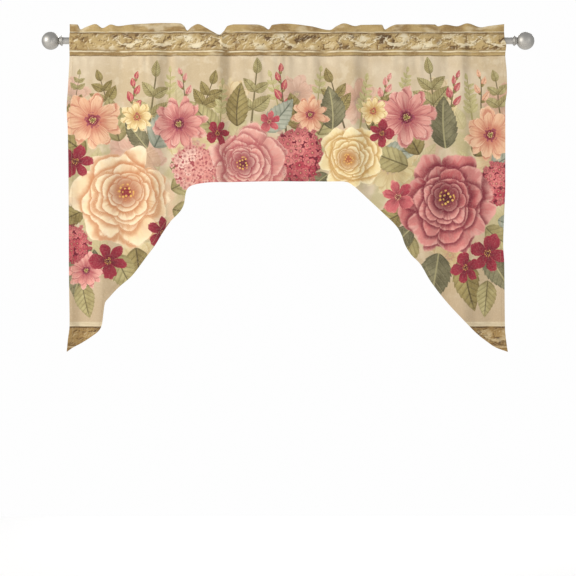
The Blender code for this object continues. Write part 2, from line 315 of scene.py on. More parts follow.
def pocket_layer(start, stand_off, end, side):
    """One of the pocket's layers: its inner and outer skins, from the upper seam to the lower.

    The layer leaves the seam, touches a round of radius stand_off, and falls in towards end.
    """
    start_y, start_z = start
    touch = math.atan2(start_z, start_y * side) - math.acos(stand_off / math.hypot(*start))
    y = side * stand_off
    straight = -STRAIGHT_FALL * stand_off
    inner = [(y, stand_off * math.tan(touch / 2)), (y, straight)]
    for down, inwards in POCKET_FALL:
        inner.append((y + (end - y) * inwards, straight + (POCKET_DROP - straight) * down))
    outer = [(a + side * CLOTH, b) for a, b in inner]
    outer[0] = (outer[0][0], inner[0][1] + CLOTH * math.tan(touch / 2))
    return inner, outer


def section(x):
    """The cloth's cross-section in one column: its front skin, back skin and pocket's inside.

    Each is a list of (y, z), from the top edge down. The inside goes down its front and up
    its back.
    """
    top = ruffle_height(x)
    seam = min(SEAM_HEIGHT, top - SEAM_CLEAR)
    forward = fold(x, POCKET_DROP)
    joined = -HANG_FORWARD - forward
    start = (-ruffle_lean(x) * RUFFLE_ROOT, seam - CLOTH)
    rest = ROD_RADIUS + SEAT_GAP + NOTCH_EASE * (SEAM_HEIGHT - seam)
    most = TUNNEL_FULL * start[1]
    slacks = FRONT_SLACK * (forward - FRONT_TOUCHES), BACK_SLACK * (BACK_TOUCHES - forward)
    front, back = header(x, top, seam)
    insides = []
    for skin, side, slack in zip((front, back), (-1, 1), slacks):
        inner, outer = pocket_layer(start, min(rest + max(0.0, slack), most), joined, side)
        insides.append(rounded([start, *inner, (joined, POCKET_DROP)], POCKET_STEPS))
        run = rounded([skin[-1], *outer, (joined + side * CLOTH, POCKET_DROP)], POCKET_STEPS)
        skin[-1] = (run[0][0] - side * SEAM_SINK, run[0][1])
        for y, z in run[1:]:
            from_seam = min(run[0][1] - z, z - POCKET_DROP)
            sink = SEAM_SINK * (1 - ease(from_seam / SEAM_PULL))
            fade = (1 - ease(from_seam / RIPPLE_REACH)) * ease(from_seam / RIPPLE_START)
            ripple = RIPPLE * gather(x + FACES_APART * side) * fade
            skin.append((y - side * (sink - max(ripple, 0.0)), z))
    inside = insides[0] + insides[1][-2:0:-1]

    # Two layers from the lower seam to the turning's end, then one down to the lower edge
    height = TURNING_END + TURNING_STEP
    middle = -HANG_FORWARD - body_forward(x, height)
    front.append((middle - CLOTH, height))
    back.append((middle + CLOTH, height))
    bottom = lower_edge(x)
    slope = (lower_edge(x + SLOPE_HALF) - lower_edge(x - SLOPE_HALF)) / (2 * SLOPE_HALF)
    lean = min(math.hypot(1.0, slope), MOST_LEAN)
    fall = bottom + HEM_ROWS[0] * lean - TURNING_END
    heights = [TURNING_END + fall * i / BODY_STEPS for i in range(BODY_STEPS + 1)]
    heights += [bottom + off * lean for off in HEM_ROWS[1:]]
    for height in heights:
        up = (height - bottom) / lean
        hem = ease((HEM_WIDTH + HEM_STEP / 2 - min(HALF_WIDTH - abs(x), up)) / HEM_STEP)
        off_groove = (up - HEM_WIDTH + GROOVE_INSET) / GROOVE_HALF
        groove = HEM_GROOVE * math.exp(-(off_groove**2))
        thick = (BODY_CLOTH + HEM_CLOTH * hem) * (SEEN_EDGE if height == heights[-1] else 1.0)
        y = -HANG_FORWARD - body_forward(x, height) - CLOTH + groove
        front.append((y, height))
        back.append((y + thick, height))
    return front, back, inside


# ---- The sheet


def quads(grid, flip=False):
    """The four-sided faces between neighbours in a grid of points."""
    corners = [grid[:-1, :-1], grid[:-1, 1:], grid[1:, 1:], grid[1:, :-1]]
    if flip:
        corners = [corners[0], *corners[:0:-1]]
    return np.stack(corners, axis=-1).reshape(-1, 4).tolist()


class Sheet:
    """The drape's mesh as it is put together: its points, their flat places, and its faces."""

    def __init__(self):
        self.places = column_places()
        self.sections = [section(x) for x in self.places]
        front, _, inside = self.sections[0]
        self.rows = len(front)
        self.ring = len(inside)
        self.low_seam = HEADER_STEPS + self.ring // 2
        self.points = [
            (sideways(x, z), y, z)
            for x, skins in zip(self.places, self.sections)
            for skin in skins
            for y, z in skin
        ]
        grid = np.arange(len(self.points)).reshape(len(self.places), -1)
        self.per_column = grid.shape[1]
        self.front, self.back, self.inside = np.split(grid, (self.rows, 2 * self.rows), axis=1)
        reach = reaches([(x, fold(x, SPREAD_LEVEL)) for x in self.places])
        self.spread = [r - reach[-1] / 2 for r in reach]
        self.flat = self.flat_places()

    def flat_places(self):
        """(across, up, printed side) of each point, flat, from the lower seam's middle."""
        flat = []
        low = self.low_seam
        for across, (front, back, inside) in zip(self.spread, self.sections):
            down = reaches(front[: low + 1])
            up = [down[-1] - reach for reach in down[:-1]]
            up += [z - POCKET_DROP for _, z in front[low:]]
            over = [up[0] + EDGE_ROUND + reach for reach in reaches(back)]
            flat += [(across, height, 1.0) for height in up + over[: low + 2]]
            flat += [(across, height, 0.0) for height in up[low + 2 :]]
            flat += [(across, TUNNEL_PLACE, 0.0)] * len(inside)
        return flat

    def faces(self):
        """The faces of the front, the back, the top edge, the lower edge, the tunnel, the ends."""
        front, back = self.front, self.back
        return (
            quads(front),
            quads(back, flip=True),
            quads(np.stack((back[:, 0], front[:, 0]), axis=1)),
            quads(np.stack((front[:, -1], back[:, -1]), axis=1)),
            quads(np.hstack((self.inside, self.inside[:, :1])), flip=True),
            self.side_cap(0) + [face[::-1] for face in self.side_cap(-1)],
        )

    def side_cap(self, column):
        """The cut edge of the cloth at one side, left open at the pocket's tunnel."""
        front, back, inside = (
            skin[column].tolist() for skin in (self.front, self.back, self.inside)
        )
        faces = []
        for j in range(self.rows - 1):
            a, b, c, d = front[j], back[j], back[j + 1], front[j + 1]
            k = j - HEADER_STEPS
            if k == -1:
                faces.append((a, b, c, inside[0], d))
            elif j == self.low_seam:
                faces.append((a, inside[k], b, c, d))
            elif 0 <= k and j < self.low_seam:
                faces += [(a, inside[k], inside[k + 1], d), (inside[-k], b, c, inside[-k - 1])]
            else:
                faces.append((a, b, c, d))
        return faces

    def run(self, skin, *stretches):
        """The points along stretches of (columns, rows) of one skin."""
        return [self.points[i] for columns, rows in stretches for i in skin[columns, rows]]


def add_object(name, data):
    made = bpy.data.objects.new(name, data)
    bpy.context.scene.collection.objects.link(made)
    return made


def add_mesh(name, points, faces, finish=None, sharp=None):
    """A smooth object from points in millimetres. Its edges are hard where they turn by sharp."""
    mesh = bpy.data.meshes.new(name)
    mesh.from_pydata([[float(c) * MM for c in point] for point in points], [], faces)
    mesh.shade_smooth()
    if sharp:
        mesh.set_sharp_from_angle(angle=math.radians(sharp))
    if finish:
        mesh.materials.append(bpy.data.materials[finish])
    return add_object(name, mesh)


# ---- The print's dyes and its layout


def ink(red, green, blue):
    """A colour from its 0 to 255 shades as the shader takes it."""
    shades = [c / 255 for c in (red, green, blue)]
    return (*(c / 12.92 if c <= 0.04045 else ((c + 0.055) / 1.055) ** 2.4 for c in shades), 1.0)


DYES = {
    # name: tip, body, shade, heart
    "dusty rose": (ink(230, 170, 156), ink(194, 92, 92), ink(122, 34, 50), ink(84, 16, 34)),
    "cream": (ink(246, 228, 194), ink(236, 206, 160), ink(196, 130, 84), ink(140, 44, 48)),
    "butter": (ink(248, 234, 194), ink(232, 206, 144), ink(192, 146, 80), ink(170, 92, 60)),
    "blush": (ink(242, 202, 182), ink(218, 142, 130), ink(168, 78, 82), ink(108, 30, 48)),
    "crimson": (ink(228, 140, 132), ink(182, 64, 78), ink(116, 26, 46), ink(240, 205, 150)),
    "burgundy": (ink(172, 58, 72), ink(142, 34, 52), ink(84, 14, 34), ink(222, 176, 92)),
    "peach": (ink(244, 212, 176), ink(226, 174, 136), ink(192, 112, 88), ink(128, 40, 54)),
    "sage": (ink(196, 184, 132), ink(162, 147, 97), ink(118, 105, 65), ink(92, 80, 48)),
    "olive": (ink(176, 159, 102), ink(140, 122, 72), ink(98, 83, 46), ink(74, 60, 34)),
    "grey blue": (ink(198, 197, 174), ink(162, 163, 143), ink(118, 124, 105), ink(86, 92, 76)),
    "dark leaf": (ink(148, 141, 106), ink(110, 103, 74), ink(72, 69, 48), ink(176, 166, 120)),
    "ghost": (ink(208, 196, 148), ink(190, 178, 124), ink(168, 156, 100), ink(152, 140, 88)),
}
DYE_ORDER = list(DYES)


def code(dye, seed):
    """A dye and a motif's own seed, from 0 to 1, in one number."""
    return DYE_ORDER.index(dye) + 0.03 + 0.94 * (seed % 1.0)


# Round motifs lie by their middle, as the cloth hangs: x, z, radius, turn, dye, seed
ROSES = (
    (-456, -438, 150, -35, "cream", 0.41), (444, -456, 150, -15, "dusty rose", 0.58),
    (-112, -344, 120, 60, "blush", 0.77), (178, -324, 100, 100, "butter", 0.29),
)
DAISIES = (
    (-540, -222, 86, 10, "peach", 0.21), (-304, -232, 82, 40, "blush", 0.62),
    (330, -214, 92, -20, "blush", 0.35), (566, -262, 80, 30, "peach", 0.87),
    (62, -206, 56, 0, "peach", 0.50), (-420, -212, 48, 75, "butter", 0.93),
    (-560, -640, 56, 15, "blush", 0.10), (238, -196, 44, 50, "butter", 0.44),
)
FADED_DAISIES = (
    (-604, -160, 64, 0, "blush", 0.27), (-262, -292, 78, 20, "butter", 0.33),
    (-160, -166, 66, 50, "butter", 0.58), (24, -150, 60, 10, "blush", 0.12),
    (196, -170, 70, 65, "blush", 0.91), (284, -350, 92, 0, "butter", 0.71),
    (414, -160, 66, 35, "butter", 0.42), (598, -176, 64, 15, "blush", 0.85),
    (-420, -330, 96, 25, "blush", 0.18), (580, -330, 84, 55, "butter", 0.66),
    (452, -598, 62, 80, "butter", 0.53), (-424, -626, 84, 40, "butter", 0.74),
)
POSIES = (
    (28, -318, 86, 0, "crimson", 0.25), (-258, -356, 74, 30, "blush", 0.66),
    (592, -398, 72, 0, "crimson", 0.81), (-604, -566, 62, 0, "crimson", 0.45),
)
FLORETS = (
    (562, -592, 62, 25, "burgundy", 0.15), (494, -632, 50, 60, "burgundy", 0.73),
    (-348, -536, 50, 0, "burgundy", 0.37), (-500, -614, 56, 50, "burgundy", 0.54),
    (306, -436, 52, 10, "crimson", 0.92), (-196, -258, 40, 80, "burgundy", 0.61),
    (-588, -336, 54, 20, "burgundy", 0.05), (262, -258, 40, 40, "burgundy", 0.30),
    (-52, -226, 34, 10, "crimson", 0.48),
)
# Leaves lie by their stalk's end: x, z, length, direction, dye, seed
LEAVES = (
    (-560, -316, 132, 146, "olive", 0.20), (-470, -280, 128, 104, "sage", 0.55),
    (-372, -298, 138, 60, "grey blue", 0.71), (-330, -352, 122, 12, "olive", 0.31),
    (-322, -470, 118, -18, "sage", 0.84), (-352, -548, 128, -52, "dark leaf", 0.42),
    (-424, -576, 138, -84, "olive", 0.63), (-540, -580, 146, -112, "dark leaf", 0.12),
    (-600, -470, 96, 176, "grey blue", 0.77), (-572, -676, 100, -78, "sage", 0.35),
    (-598, -236, 92, 72, "olive", 0.26), (-196, -258, 122, 132, "sage", 0.48),
    (-142, -238, 124, 84, "olive", 0.90), (-66, -252, 122, 48, "grey blue", 0.17),
    (40, -250, 112, 108, "olive", 0.69), (84, -262, 118, 62, "sage", 0.52),
    (124, -246, 122, 96, "dark leaf", 0.08), (226, -248, 122, 58, "olive", 0.33),
    (262, -318, 104, 4, "grey blue", 0.95), (112, -372, 84, -140, "dark leaf", 0.24),
    (334, -350, 134, 158, "sage", 0.60), (366, -318, 132, 118, "olive", 0.45),
    (440, -300, 148, 92, "dark leaf", 0.80), (520, -322, 138, 60, "olive", 0.15),
    (570, -350, 118, 32, "grey blue", 0.38), (352, -548, 110, -124, "sage", 0.72),
    (420, -592, 146, -100, "dark leaf", 0.56), (486, -602, 158, -76, "olive", 0.28),
    (556, -590, 132, -58, "dark leaf", 0.66), (590, -500, 96, -10, "grey blue", 0.03),
    (560, -668, 104, -96, "sage", 0.49), (-30, -372, 84, -30, "dark leaf", 0.88),
    (322, -478, 124, 204, "olive", 0.64), (346, -522, 112, 226, "dark leaf", 0.19),
    (-326, -414, 112, 24, "sage", 0.51), (-566, -470, 92, 204, "olive", 0.83),
    (556, -520, 104, -34, "sage", 0.07), (-392, -300, 104, 128, "dark leaf", 0.59),
    (-480, -596, 124, -62, "sage", 0.22),
)
# x, z, length, direction, leaf length, pairs, dye
SPRIGS = (
    (-496, -196, 92, 106, 44, 2, "olive"), (-391, -270, 180, 82, 60, 2, "sage"),
    (-331, -182, 100, 88, 24, 3, "ghost"), (-246, -216, 106, 70, 52, 2, "olive"),
    (-190, -246, 130, 86, 26, 4, "ghost"), (-104, -248, 166, 84, 58, 2, "sage"),
    (-24, -196, 104, 104, 26, 3, "ghost"), (82, -178, 98, 84, 24, 3, "ghost"),
    (158, -246, 144, 106, 56, 2, "olive"), (200, -250, 150, 82, 28, 5, "ghost"),
    (319, -160, 78, 80, 22, 3, "ghost"), (410, -226, 142, 96, 62, 2, "sage"),
    (518, -250, 150, 98, 28, 5, "ghost"), (596, -224, 118, 100, 44, 2, "sage"),
    (-584, -156, 62, 84, 24, 2, "sage"),
)
# x, z, length, direction, bud length, buds, dye
BUD_SPRAYS = (
    (-440, -250, 138, 84, 28, 5, "crimson"),
    (-5, -258, 166, 96, 30, 5, "crimson"),
    (250, -220, 108, 76, 26, 5, "blush"),
    (446, -230, 122, 80, 28, 5, "dusty rose"),
    (-284, -190, 92, 96, 24, 4, "blush"),
    (540, -216, 110, 92, 26, 4, "peach"),
)
STEM_HALF = 0.0125              # half a stem's width, to its length

GHOST_LEAVES = 60
GHOST_LENGTHS = (70, 115)
GHOST_DIRECTIONS = (50, 130)
GHOST_APART = 72                # no two pale leaves start nearer to each other than this
# x from, x to, z from, z to: the middle, then both tails
GHOST_AREA = ((-600, 600, -190, -380), (-600, -400, -400, -640), (400, 600, -400, -640))
FAR_OFF = (9.0, 9.0, 0.0)       # a motif's own place where no motif lies
ROUND_REACH = 1.10
LEAF_REACH = (-0.02, 1.02, 0.38)
STEM_REACH = (-0.02, 1.02, 0.06)
MOST_LAYERS = 6


def along(x, z, direction, distance):
    """The place this far from (x, z) in a direction, in degrees from the viewer's right."""
    angle = math.radians(direction)
    return x + distance * math.cos(angle), z + distance * math.sin(angle)


def sprig(x, z, length, direction, leaf, pairs, dye):
    """A stem with pairs of leaflets that get smaller towards its tip, and one at its end."""
    leaves = []
    for i in range(pairs):
        foot = along(x, z, direction, length * (0.34 + 0.60 * i / pairs))
        size = leaf * (1.12 - 0.5 * i / pairs)
        for k, side in enumerate((52, -46)):
            seed = 0.37 * i + 0.19 * k + x / 97
            leaves.append((*foot, size, direction + side - 6 * i, dye, seed))
    tip = along(x, z, direction, length * 0.94)
    leaves.append((*tip, leaf * 0.8, direction + 4, dye, x / 53))
    return (x, z, length, direction, dye, x / 31), leaves


def bud_spray(x, z, length, direction, bud, buds, dye):
    """A stem with buds on short stalks to its two sides in turn."""
    petals, sepals = [], []
    for i in range(buds):
        out = (1 if i % 2 else -1) * (44 - 8 * i)
        stalk = along(x, z, direction, length * (0.38 + 0.60 * i / (buds - 1)))
        foot = along(*stalk, direction + out, bud * 0.30)
        under = along(*foot, direction + out, bud * -0.25)
        size = bud * (1.25 - 0.5 * i / buds)
        petals.append((*foot, size, direction + out * 0.7, dye, 0.29 * i + x / 71))
        sepals.append((*under, size * 0.62, direction + out, "olive", i / 7))
    return (x, z, length, direction, "olive", x / 43), sepals + petals


def ghost_leaves():
    """Pale leaves scattered behind the rest."""
    draw = np.random.default_rng(11)
    leaves = []
    for i in range(GHOST_LEAVES):
        x0, x1, z0, z1 = GHOST_AREA[0 if i % 4 else 1 + i // 4 % 2]
        place = draw.uniform(x0, x1), draw.uniform(z1, z0)
        size, direction = draw.uniform(*GHOST_LENGTHS), draw.uniform(*GHOST_DIRECTIONS)
        seed = draw.random()
        if all(math.dist(place, other[:2]) > GHOST_APART for other in leaves):
            leaves.append((*place, size, direction, "ghost", seed))
    return leaves


def print_passes():
    """The print's passes from back to front: name, motif, strength, reach, where each lies."""
    plants = [sprig(*row) for row in SPRIGS] + [bud_spray(*row) for row in BUD_SPRAYS]
    return (
        ("ghosts", "leaf", 0.55, LEAF_REACH, ghost_leaves()),
        ("faded", "daisy", 0.42, ROUND_REACH, FADED_DAISIES),
        ("stems", "stem", 1.0, STEM_REACH, [stem for stem, _ in plants]),
        ("leaflets", "leaf", 1.0, LEAF_REACH, [leaf for _, leaves in plants for leaf in leaves]),
        ("leaves", "leaf", 1.0, LEAF_REACH, LEAVES),
        ("daisies", "daisy", 1.0, ROUND_REACH, DAISIES),
        ("posies", "posy", 1.0, ROUND_REACH, POSIES),
        ("roses", "rose", 1.0, ROUND_REACH, ROSES),
        ("florets", "floret", 1.0, ROUND_REACH, FLORETS),
    )


def own_place(points, x, z, size, turn):
    """Flat points as a motif sees them: along and across it, in its own size."""
    cos, sin = math.cos(math.radians(turn)), math.sin(math.radians(turn))
    over, up = ((points - np.array((x, z))) / size).T
    return np.stack((over * cos + up * sin, up * cos - over * sin), axis=-1)


def covered(local, reach):
    """Which of these own places lie within a motif's reach."""
    if isinstance(reach, tuple):
        start, end, half = reach
        return (local[:, 0] > start) & (local[:, 0] < end) & (abs(local[:, 1]) < half)
    return np.hypot(local[:, 0], local[:, 1]) < reach


def lay_pass(mesh, name, reach, motifs, middles, corners, owner, flat_x):
    """Writes each face corner's own place in the motif over it, and returns the layers' names.

    A motif goes on the first layer that is still free where it lies.
    """
    layers, taken = [], []
    for x, z, size, turn, dye, seed in motifs:
        where = (flat_x(x), z - POCKET_DROP, size, turn)
        faces = covered(own_place(middles, *where), reach)
        free = next((i for i, busy in enumerate(taken) if not (busy & faces).any()), len(taken))
        if free == len(taken):
            taken.append(np.zeros(len(middles), bool))
            layers.append(np.tile(np.array(FAR_OFF, np.float32), (len(corners), 1)))
        taken[free] |= faces
        mine = faces[owner]
        layers[free][mine, :2] = own_place(corners[mine], *where)
        layers[free][mine, 2] = code(dye, seed)
    if len(layers) > MOST_LAYERS:
        raise ValueError(f"{name} overlap in {len(layers)} layers, more than {MOST_LAYERS}")
    names = [f"{name}_{level + 1}" for level in range(len(layers))]
    for label, values in zip(names, layers):
        attribute = mesh.attributes.new(label, "FLOAT_VECTOR", "CORNER")
        attribute.data.foreach_set("vector", values.ravel())
    return names


# ---- The drape's mesh

# The bake's map, from foot to head: front, back, top edge, lower edge, tunnel, ends
BANDS = (
    (0.330, 0.990), (0.035, 0.300), (0.022, 0.028), (0.012, 0.018), (0.305, 0.325), (0.03, 0.99),
)
MAP_SIDES = (0.005, 0.985)
LEFT_END = (0.988, 0.991)
RIGHT_END = (0.995, 0.998)


def make_drape():
    """The printed cloth as one thin closed sheet, with its flat places, print layers and map."""
    sheet = Sheet()
    kinds = sheet.faces()
    faces = [face for kind in kinds for face in kind]
    drape = add_mesh("printed_drape", sheet.points, faces, sharp=50)
    mesh = drape.data
    vertex = np.zeros(len(mesh.loops), np.int32)
    mesh.loops.foreach_get("vertex_index", vertex)
    counts = np.array([len(face) for face in faces])
    owner = np.repeat(np.arange(len(faces)), counts)
    flat = np.array(sheet.flat, np.float32)
    corners = flat[vertex, :2]
    middles = np.stack([np.bincount(owner, corners[:, k]) / counts for k in (0, 1)], axis=1)

    place = mesh.attributes.new("flat_place", "FLOAT_VECTOR", "POINT")
    place.data.foreach_set("vector", flat.ravel())
    flat_x = smooth_curve(list(zip(sheet.places, sheet.spread)))
    layers = []
    for name, motif, strength, reach, motifs in print_passes():
        names = lay_pass(mesh, name, reach, motifs, middles, corners, owner, flat_x)
        layers += [(layer, motif, strength) for layer in names]
    bake_map(mesh, sheet, kinds, corners, vertex, owner)
    return drape, layers, sheet


def bake_map(mesh, sheet, kinds, corners, vertex, owner):
    """Lays the cloth out flat on its own map: the front large, then its back, tunnel and edges."""

    def band(span, share):
        return span[0] + (span[1] - span[0]) * share

    points = np.array(sheet.points)[vertex]
    kind = np.repeat(np.arange(len(kinds)), [len(faces) for faces in kinds])[owner]
    front_up = corners[:, 1] - corners[kind == 0, 1].min()
    up = (points[:, 2] - points[:, 2].min()) / np.ptp(points[:, 2])
    row = vertex % sheet.per_column
    behind = (row >= sheet.rows) * 1.0
    turn = row - 2 * sheet.rows
    furthest = np.zeros(len(owner))
    np.maximum.at(furthest, owner, turn)
    closing = (turn == 0) & (furthest[owner] == sheet.ring - 1)
    round_tunnel = (turn + sheet.ring * closing) / sheet.ring
    shares = (front_up / front_up[kind == 0].max(), up, behind, behind, round_tunnel, up)
    v = np.choose(kind, [band(span, share) for span, share in zip(BANDS, shares)])
    end = np.where(points[:, 0] < 0, band(LEFT_END, behind), band(RIGHT_END, behind))
    across = corners[:, 0] / (2 * sheet.spread[-1]) + 0.5
    u = np.where(kind == len(kinds) - 1, end, band(MAP_SIDES, across))
    layer = mesh.uv_layers.new(name="OFBake")
    layer.data.foreach_set("uv", np.stack((u, v), axis=1).astype(np.float32).ravel())


# ---- Sums laid out as nodes

NOTHING = 1e-9                  # too little to show, and enough to keep two sums in their order
SOCKETS = {float: "NodeSocketFloat", tuple: "NodeSocketColor", str: "NodeSocketVector"}
VECTOR = "vector"
PLAIN = (0.5, 0.5, 0.5, 1.0)
ALL = "all"


def sign(operation, swapped=False):
    """What an arithmetic sign does between two sums: it lays out a maths node."""

    def lay(self, other):
        return self.bench.maths(operation, *((other, self) if swapped else (self, other)))

    return lay


class Sum:
    """A value in a node tree. Plain arithmetic on it lays out the maths nodes that do it."""

    def __init__(self, bench, socket):
        self.bench = bench
        self.socket = socket

    __add__ = sign("ADD")
    __radd__ = sign("ADD", swapped=True)
    __sub__ = sign("SUBTRACT")
    __rsub__ = sign("SUBTRACT", swapped=True)
    __mul__ = sign("MULTIPLY")
    __rmul__ = sign("MULTIPLY", swapped=True)
    __truediv__ = sign("DIVIDE")
    __rtruediv__ = sign("DIVIDE", swapped=True)
    __pow__ = sign("POWER")

    def __abs__(self):
        return self.bench.maths("ABSOLUTE", self)

    def coat(self, share, paint):
        """This colour under a coat of paint, from 0, none of it, to 1, all of it."""
        return self.bench.mix(share, self, paint)


class Bench:
    """Lays out nodes in one tree."""

    def __init__(self, tree):
        self.tree = tree

    def wire(self, socket, value):
        """Joins a sum to a socket, or sets the socket to a plain value."""
        if isinstance(value, Sum):
            self.tree.links.new(value.socket, socket)
        else:
            socket.default_value = value

    def lay(self, kind, given=(), out=0, **settings):
        """Adds a node with these inputs, and returns one of its outputs or all of them."""
        made = self.tree.nodes.new(kind)
        for name, value in settings.items():
            setattr(made, name, value)
        for at, value in given.items() if isinstance(given, dict) else enumerate(given):
            self.wire(made.inputs[at], value)
        if out == ALL:
            return [Sum(self, socket) for socket in made.outputs]
        return Sum(self, made.outputs[out])

    def maths(self, operation, *values):
        return self.lay("ShaderNodeMath", values, operation=operation)

    def step(self, value, low, high):
        """0 up to low and 1 from high on, softly between. High may be the smaller."""
        given = (value, low, high, 0.0, 1.0)
        return self.lay("ShaderNodeMapRange", given, interpolation_type="SMOOTHSTEP", clamp=False)

    def mix(self, share, first, second, blend="MIX"):
        """A colour between two others."""
        given = {0: share, 6: first, 7: second}
        return self.lay("ShaderNodeMix", given, 2, data_type="RGBA", blend_type=blend)

    def point(self, x, y, z=0.0):
        return self.lay("ShaderNodeCombineXYZ", (x, y, z))

    def split(self, vector):
        return self.lay("ShaderNodeSeparateXYZ", (vector,), ALL)

    def parts(self, colour):
        """A colour's red, green and blue."""
        return self.lay("ShaderNodeSeparateColor", (colour,), ALL)

    def far(self, x, y):
        """How far (x, y) is from the middle."""
        return (x * x + y * y) ** 0.5

    def noise(self, place, scale, detail=2.0, flat=True):
        """Soft noise from 0 to 1."""
        given = {"Vector": place, "Scale": scale, "Detail": detail}
        return self.lay("ShaderNodeTexNoise", given, noise_dimensions="2D" if flat else "3D")

    def cells(self, place, scale, scatter):
        """Scattered points: the distance to the nearest, its random colour, and its place."""
        given = {"Vector": place, "Scale": scale, "Randomness": scatter}
        return self.lay("ShaderNodeTexVoronoi", given, ALL, voronoi_dimensions="2D")[:3]

    def chance(self, value):
        """A random number from 0 to 1 for each value."""
        return self.lay("ShaderNodeTexWhiteNoise", {"W": value}, "Value", noise_dimensions="1D")

    def ramp(self, share, stops, hard=False):
        """A colour read off a run of (place, colour) stops."""
        made = self.lay("ShaderNodeValToRGB", (share,))
        bar = made.socket.node.color_ramp
        bar.interpolation = "CONSTANT" if hard else "LINEAR"
        while len(bar.elements) < len(stops):
            bar.elements.new(0.5)
        for element, (place, colour) in zip(bar.elements, stops):
            element.position = place
            element.color = colour
        return made

    def after(self, vector, colour):
        """The same vector, read only once a colour is known. It keeps a shader's workspace small."""
        given = (colour, (NOTHING,) * 3, vector)
        return self.lay("ShaderNodeVectorMath", given, operation="MULTIPLY_ADD")

    def reading(self, name):
        """An attribute of the mesh, as a vector."""
        return self.lay("ShaderNodeAttribute", out="Vector", attribute_name=name)

    def relief(self, height, strength, distance):
        """The normal of a bumpy surface."""
        given = {"Height": height, "Strength": strength, "Distance": distance}
        return self.lay("ShaderNodeBump", given)

    def use(self, group, **given):
        """Places a node group, and returns what it puts out."""
        given = {name.replace("_", " "): value for name, value in given.items()}
        return self.lay("ShaderNodeGroup", given, ALL, node_tree=bpy.data.node_groups[group])


class Group(Bench):
    """A node group as it is made, with its named inputs and outputs."""

    def __init__(self, name, given, made):
        super().__init__(bpy.data.node_groups.new(name, "ShaderNodeTree"))
        new_socket = self.tree.interface.new_socket
        for label, value in given.items():
            socket = new_socket(name=label, in_out="INPUT", socket_type=SOCKETS[type(value)])
            if value != VECTOR:
                socket.default_value = value
        for label, kind in made.items():
            new_socket(name=label, in_out="OUTPUT", socket_type=SOCKETS[kind])
        entry = self.tree.nodes.new("NodeGroupInput")
        self.given = {socket.name: Sum(self, socket) for socket in entry.outputs if socket.name}
        self.exit = self.tree.nodes.new("NodeGroupOutput")

    def __getitem__(self, name):
        return self.given[name]

    def put_out(self, *made):
        for socket, value in zip(self.exit.inputs, made):
            self.wire(socket, value)


# ---- What the print is painted with


def dye_group():
    """The four shades of a motif's dye, and its seed, from the number that holds both."""
    shades = {"Tip": tuple, "Body": tuple, "Shade": tuple, "Heart": tuple}
    g = Group("dyes", {"Code": 0.0}, {**shades, "Seed": float})
    count = len(DYE_ORDER)
    share = (g.maths("FLOOR", g["Code"]) + 0.5) / count
    read = [
        g.ramp(share, [(i / count, DYES[name][k]) for i, name in enumerate(DYE_ORDER)], hard=True)
        for k in range(len(shades))
    ]
    g.put_out(*read, g.maths("FRACT", g["Code"]))


UNEVEN_PETALS = 0.30            # how far round, in radians, a ring's petals are pushed together
SHORT_PETALS = 0.10             # how much shorter than the rest a petal may be
STROKE_SHIFT = 0.55             # how far the brush strokes move a petal's root and lip


def petal_ring_group():
    """A ring of petals over what is under it, each pale at its lip and dark at its root."""
    g = Group(
        "petal ring",
        {
            "Place": VECTOR, "Centre Across": 0.0, "Centre Up": 0.0, "Radius": 1.0, "Petals": 6.0,
            "Turn": 0.0, "Notch": 0.2, "Ruffle": 0.0, "Waver": 0.0, "Stroke": 0.5, "Cup": 0.0,
            "Lip": 0.1, "Root": 0.5, "Seed": 0.0, "Under": PLAIN, "Coverage": 0.0,
            "Tip": PLAIN, "Body": PLAIN, "Shade": PLAIN,
        },
        {"Colour": tuple, "Coverage": float},
    )
    radius, stroke, root = g["Radius"], g["Stroke"], g["Root"]
    tip, shade, under = g["Tip"], g["Shade"], g["Under"]
    across, up, _ = g.split(g.after(g["Place"], under))
    x = across - g["Centre Across"]
    y = up - g["Centre Up"]
    reach = g.far(x, y)
    angle = g.maths("ARCTAN2", y, x)
    angle = angle + g.maths("SINE", angle + g["Turn"] * 2) * UNEVEN_PETALS
    turns = (angle * g["Petals"] / 2 + g["Turn"]) / math.pi + 0.5
    lobe = abs(g.maths("SINE", turns * math.pi))
    petal = g.maths("FLOORED_MODULO", g.maths("FLOOR", turns), g["Petals"])
    side = g.maths("FRACT", turns)
    tone = g.chance(petal * 7.31 + g["Seed"] * 43.7 + radius * 19.1)
    slow = g.noise(g.point(x + radius * 9, y + g["Seed"] * 13), 2.0, 0.0) - 0.5
    edge = 1 - g["Notch"] * (1 - lobe ** 0.55) + g["Ruffle"] + slow * g["Waver"]
    edge = radius * (edge - g.maths("FRACT", tone * 7) * SHORT_PETALS)
    inward = (edge - reach) / radius
    mask = g.step(inward, 0.0, 0.035)

    shaded = under.coat(g.step(inward, -0.15, 0.0) * g["Coverage"] * 0.82, shade)
    colour = g["Body"].coat(tone * 0.34, tip)
    lift = y / radius * g["Cup"]
    colour = colour.coat(g.step(lift, -0.1, 1.0) * 0.55, shade)
    colour = colour.coat(g.step(lift, 0.0, -0.9) * 0.45, tip)
    depth = inward + (stroke - 0.5) * STROKE_SHIFT
    colour = colour.coat(g.step(depth, root * 0.25, root) * 0.92, shade)
    colour = colour.coat(g.step(side, 0.32, 0.0) * 0.55, shade)
    colour = colour.coat(g.step(depth, g["Lip"], 0.0) * (0.62 + 0.36 * tone), tip)
    colour = colour.coat((stroke - 0.46) * 1.5 * g.step(side, 0.0, 0.7), tip)
    colour = colour.coat((0.46 - stroke) * 1.6, shade)
    g.put_out(shaded.coat(mask, colour), g.maths("MAXIMUM", mask, g["Coverage"]))


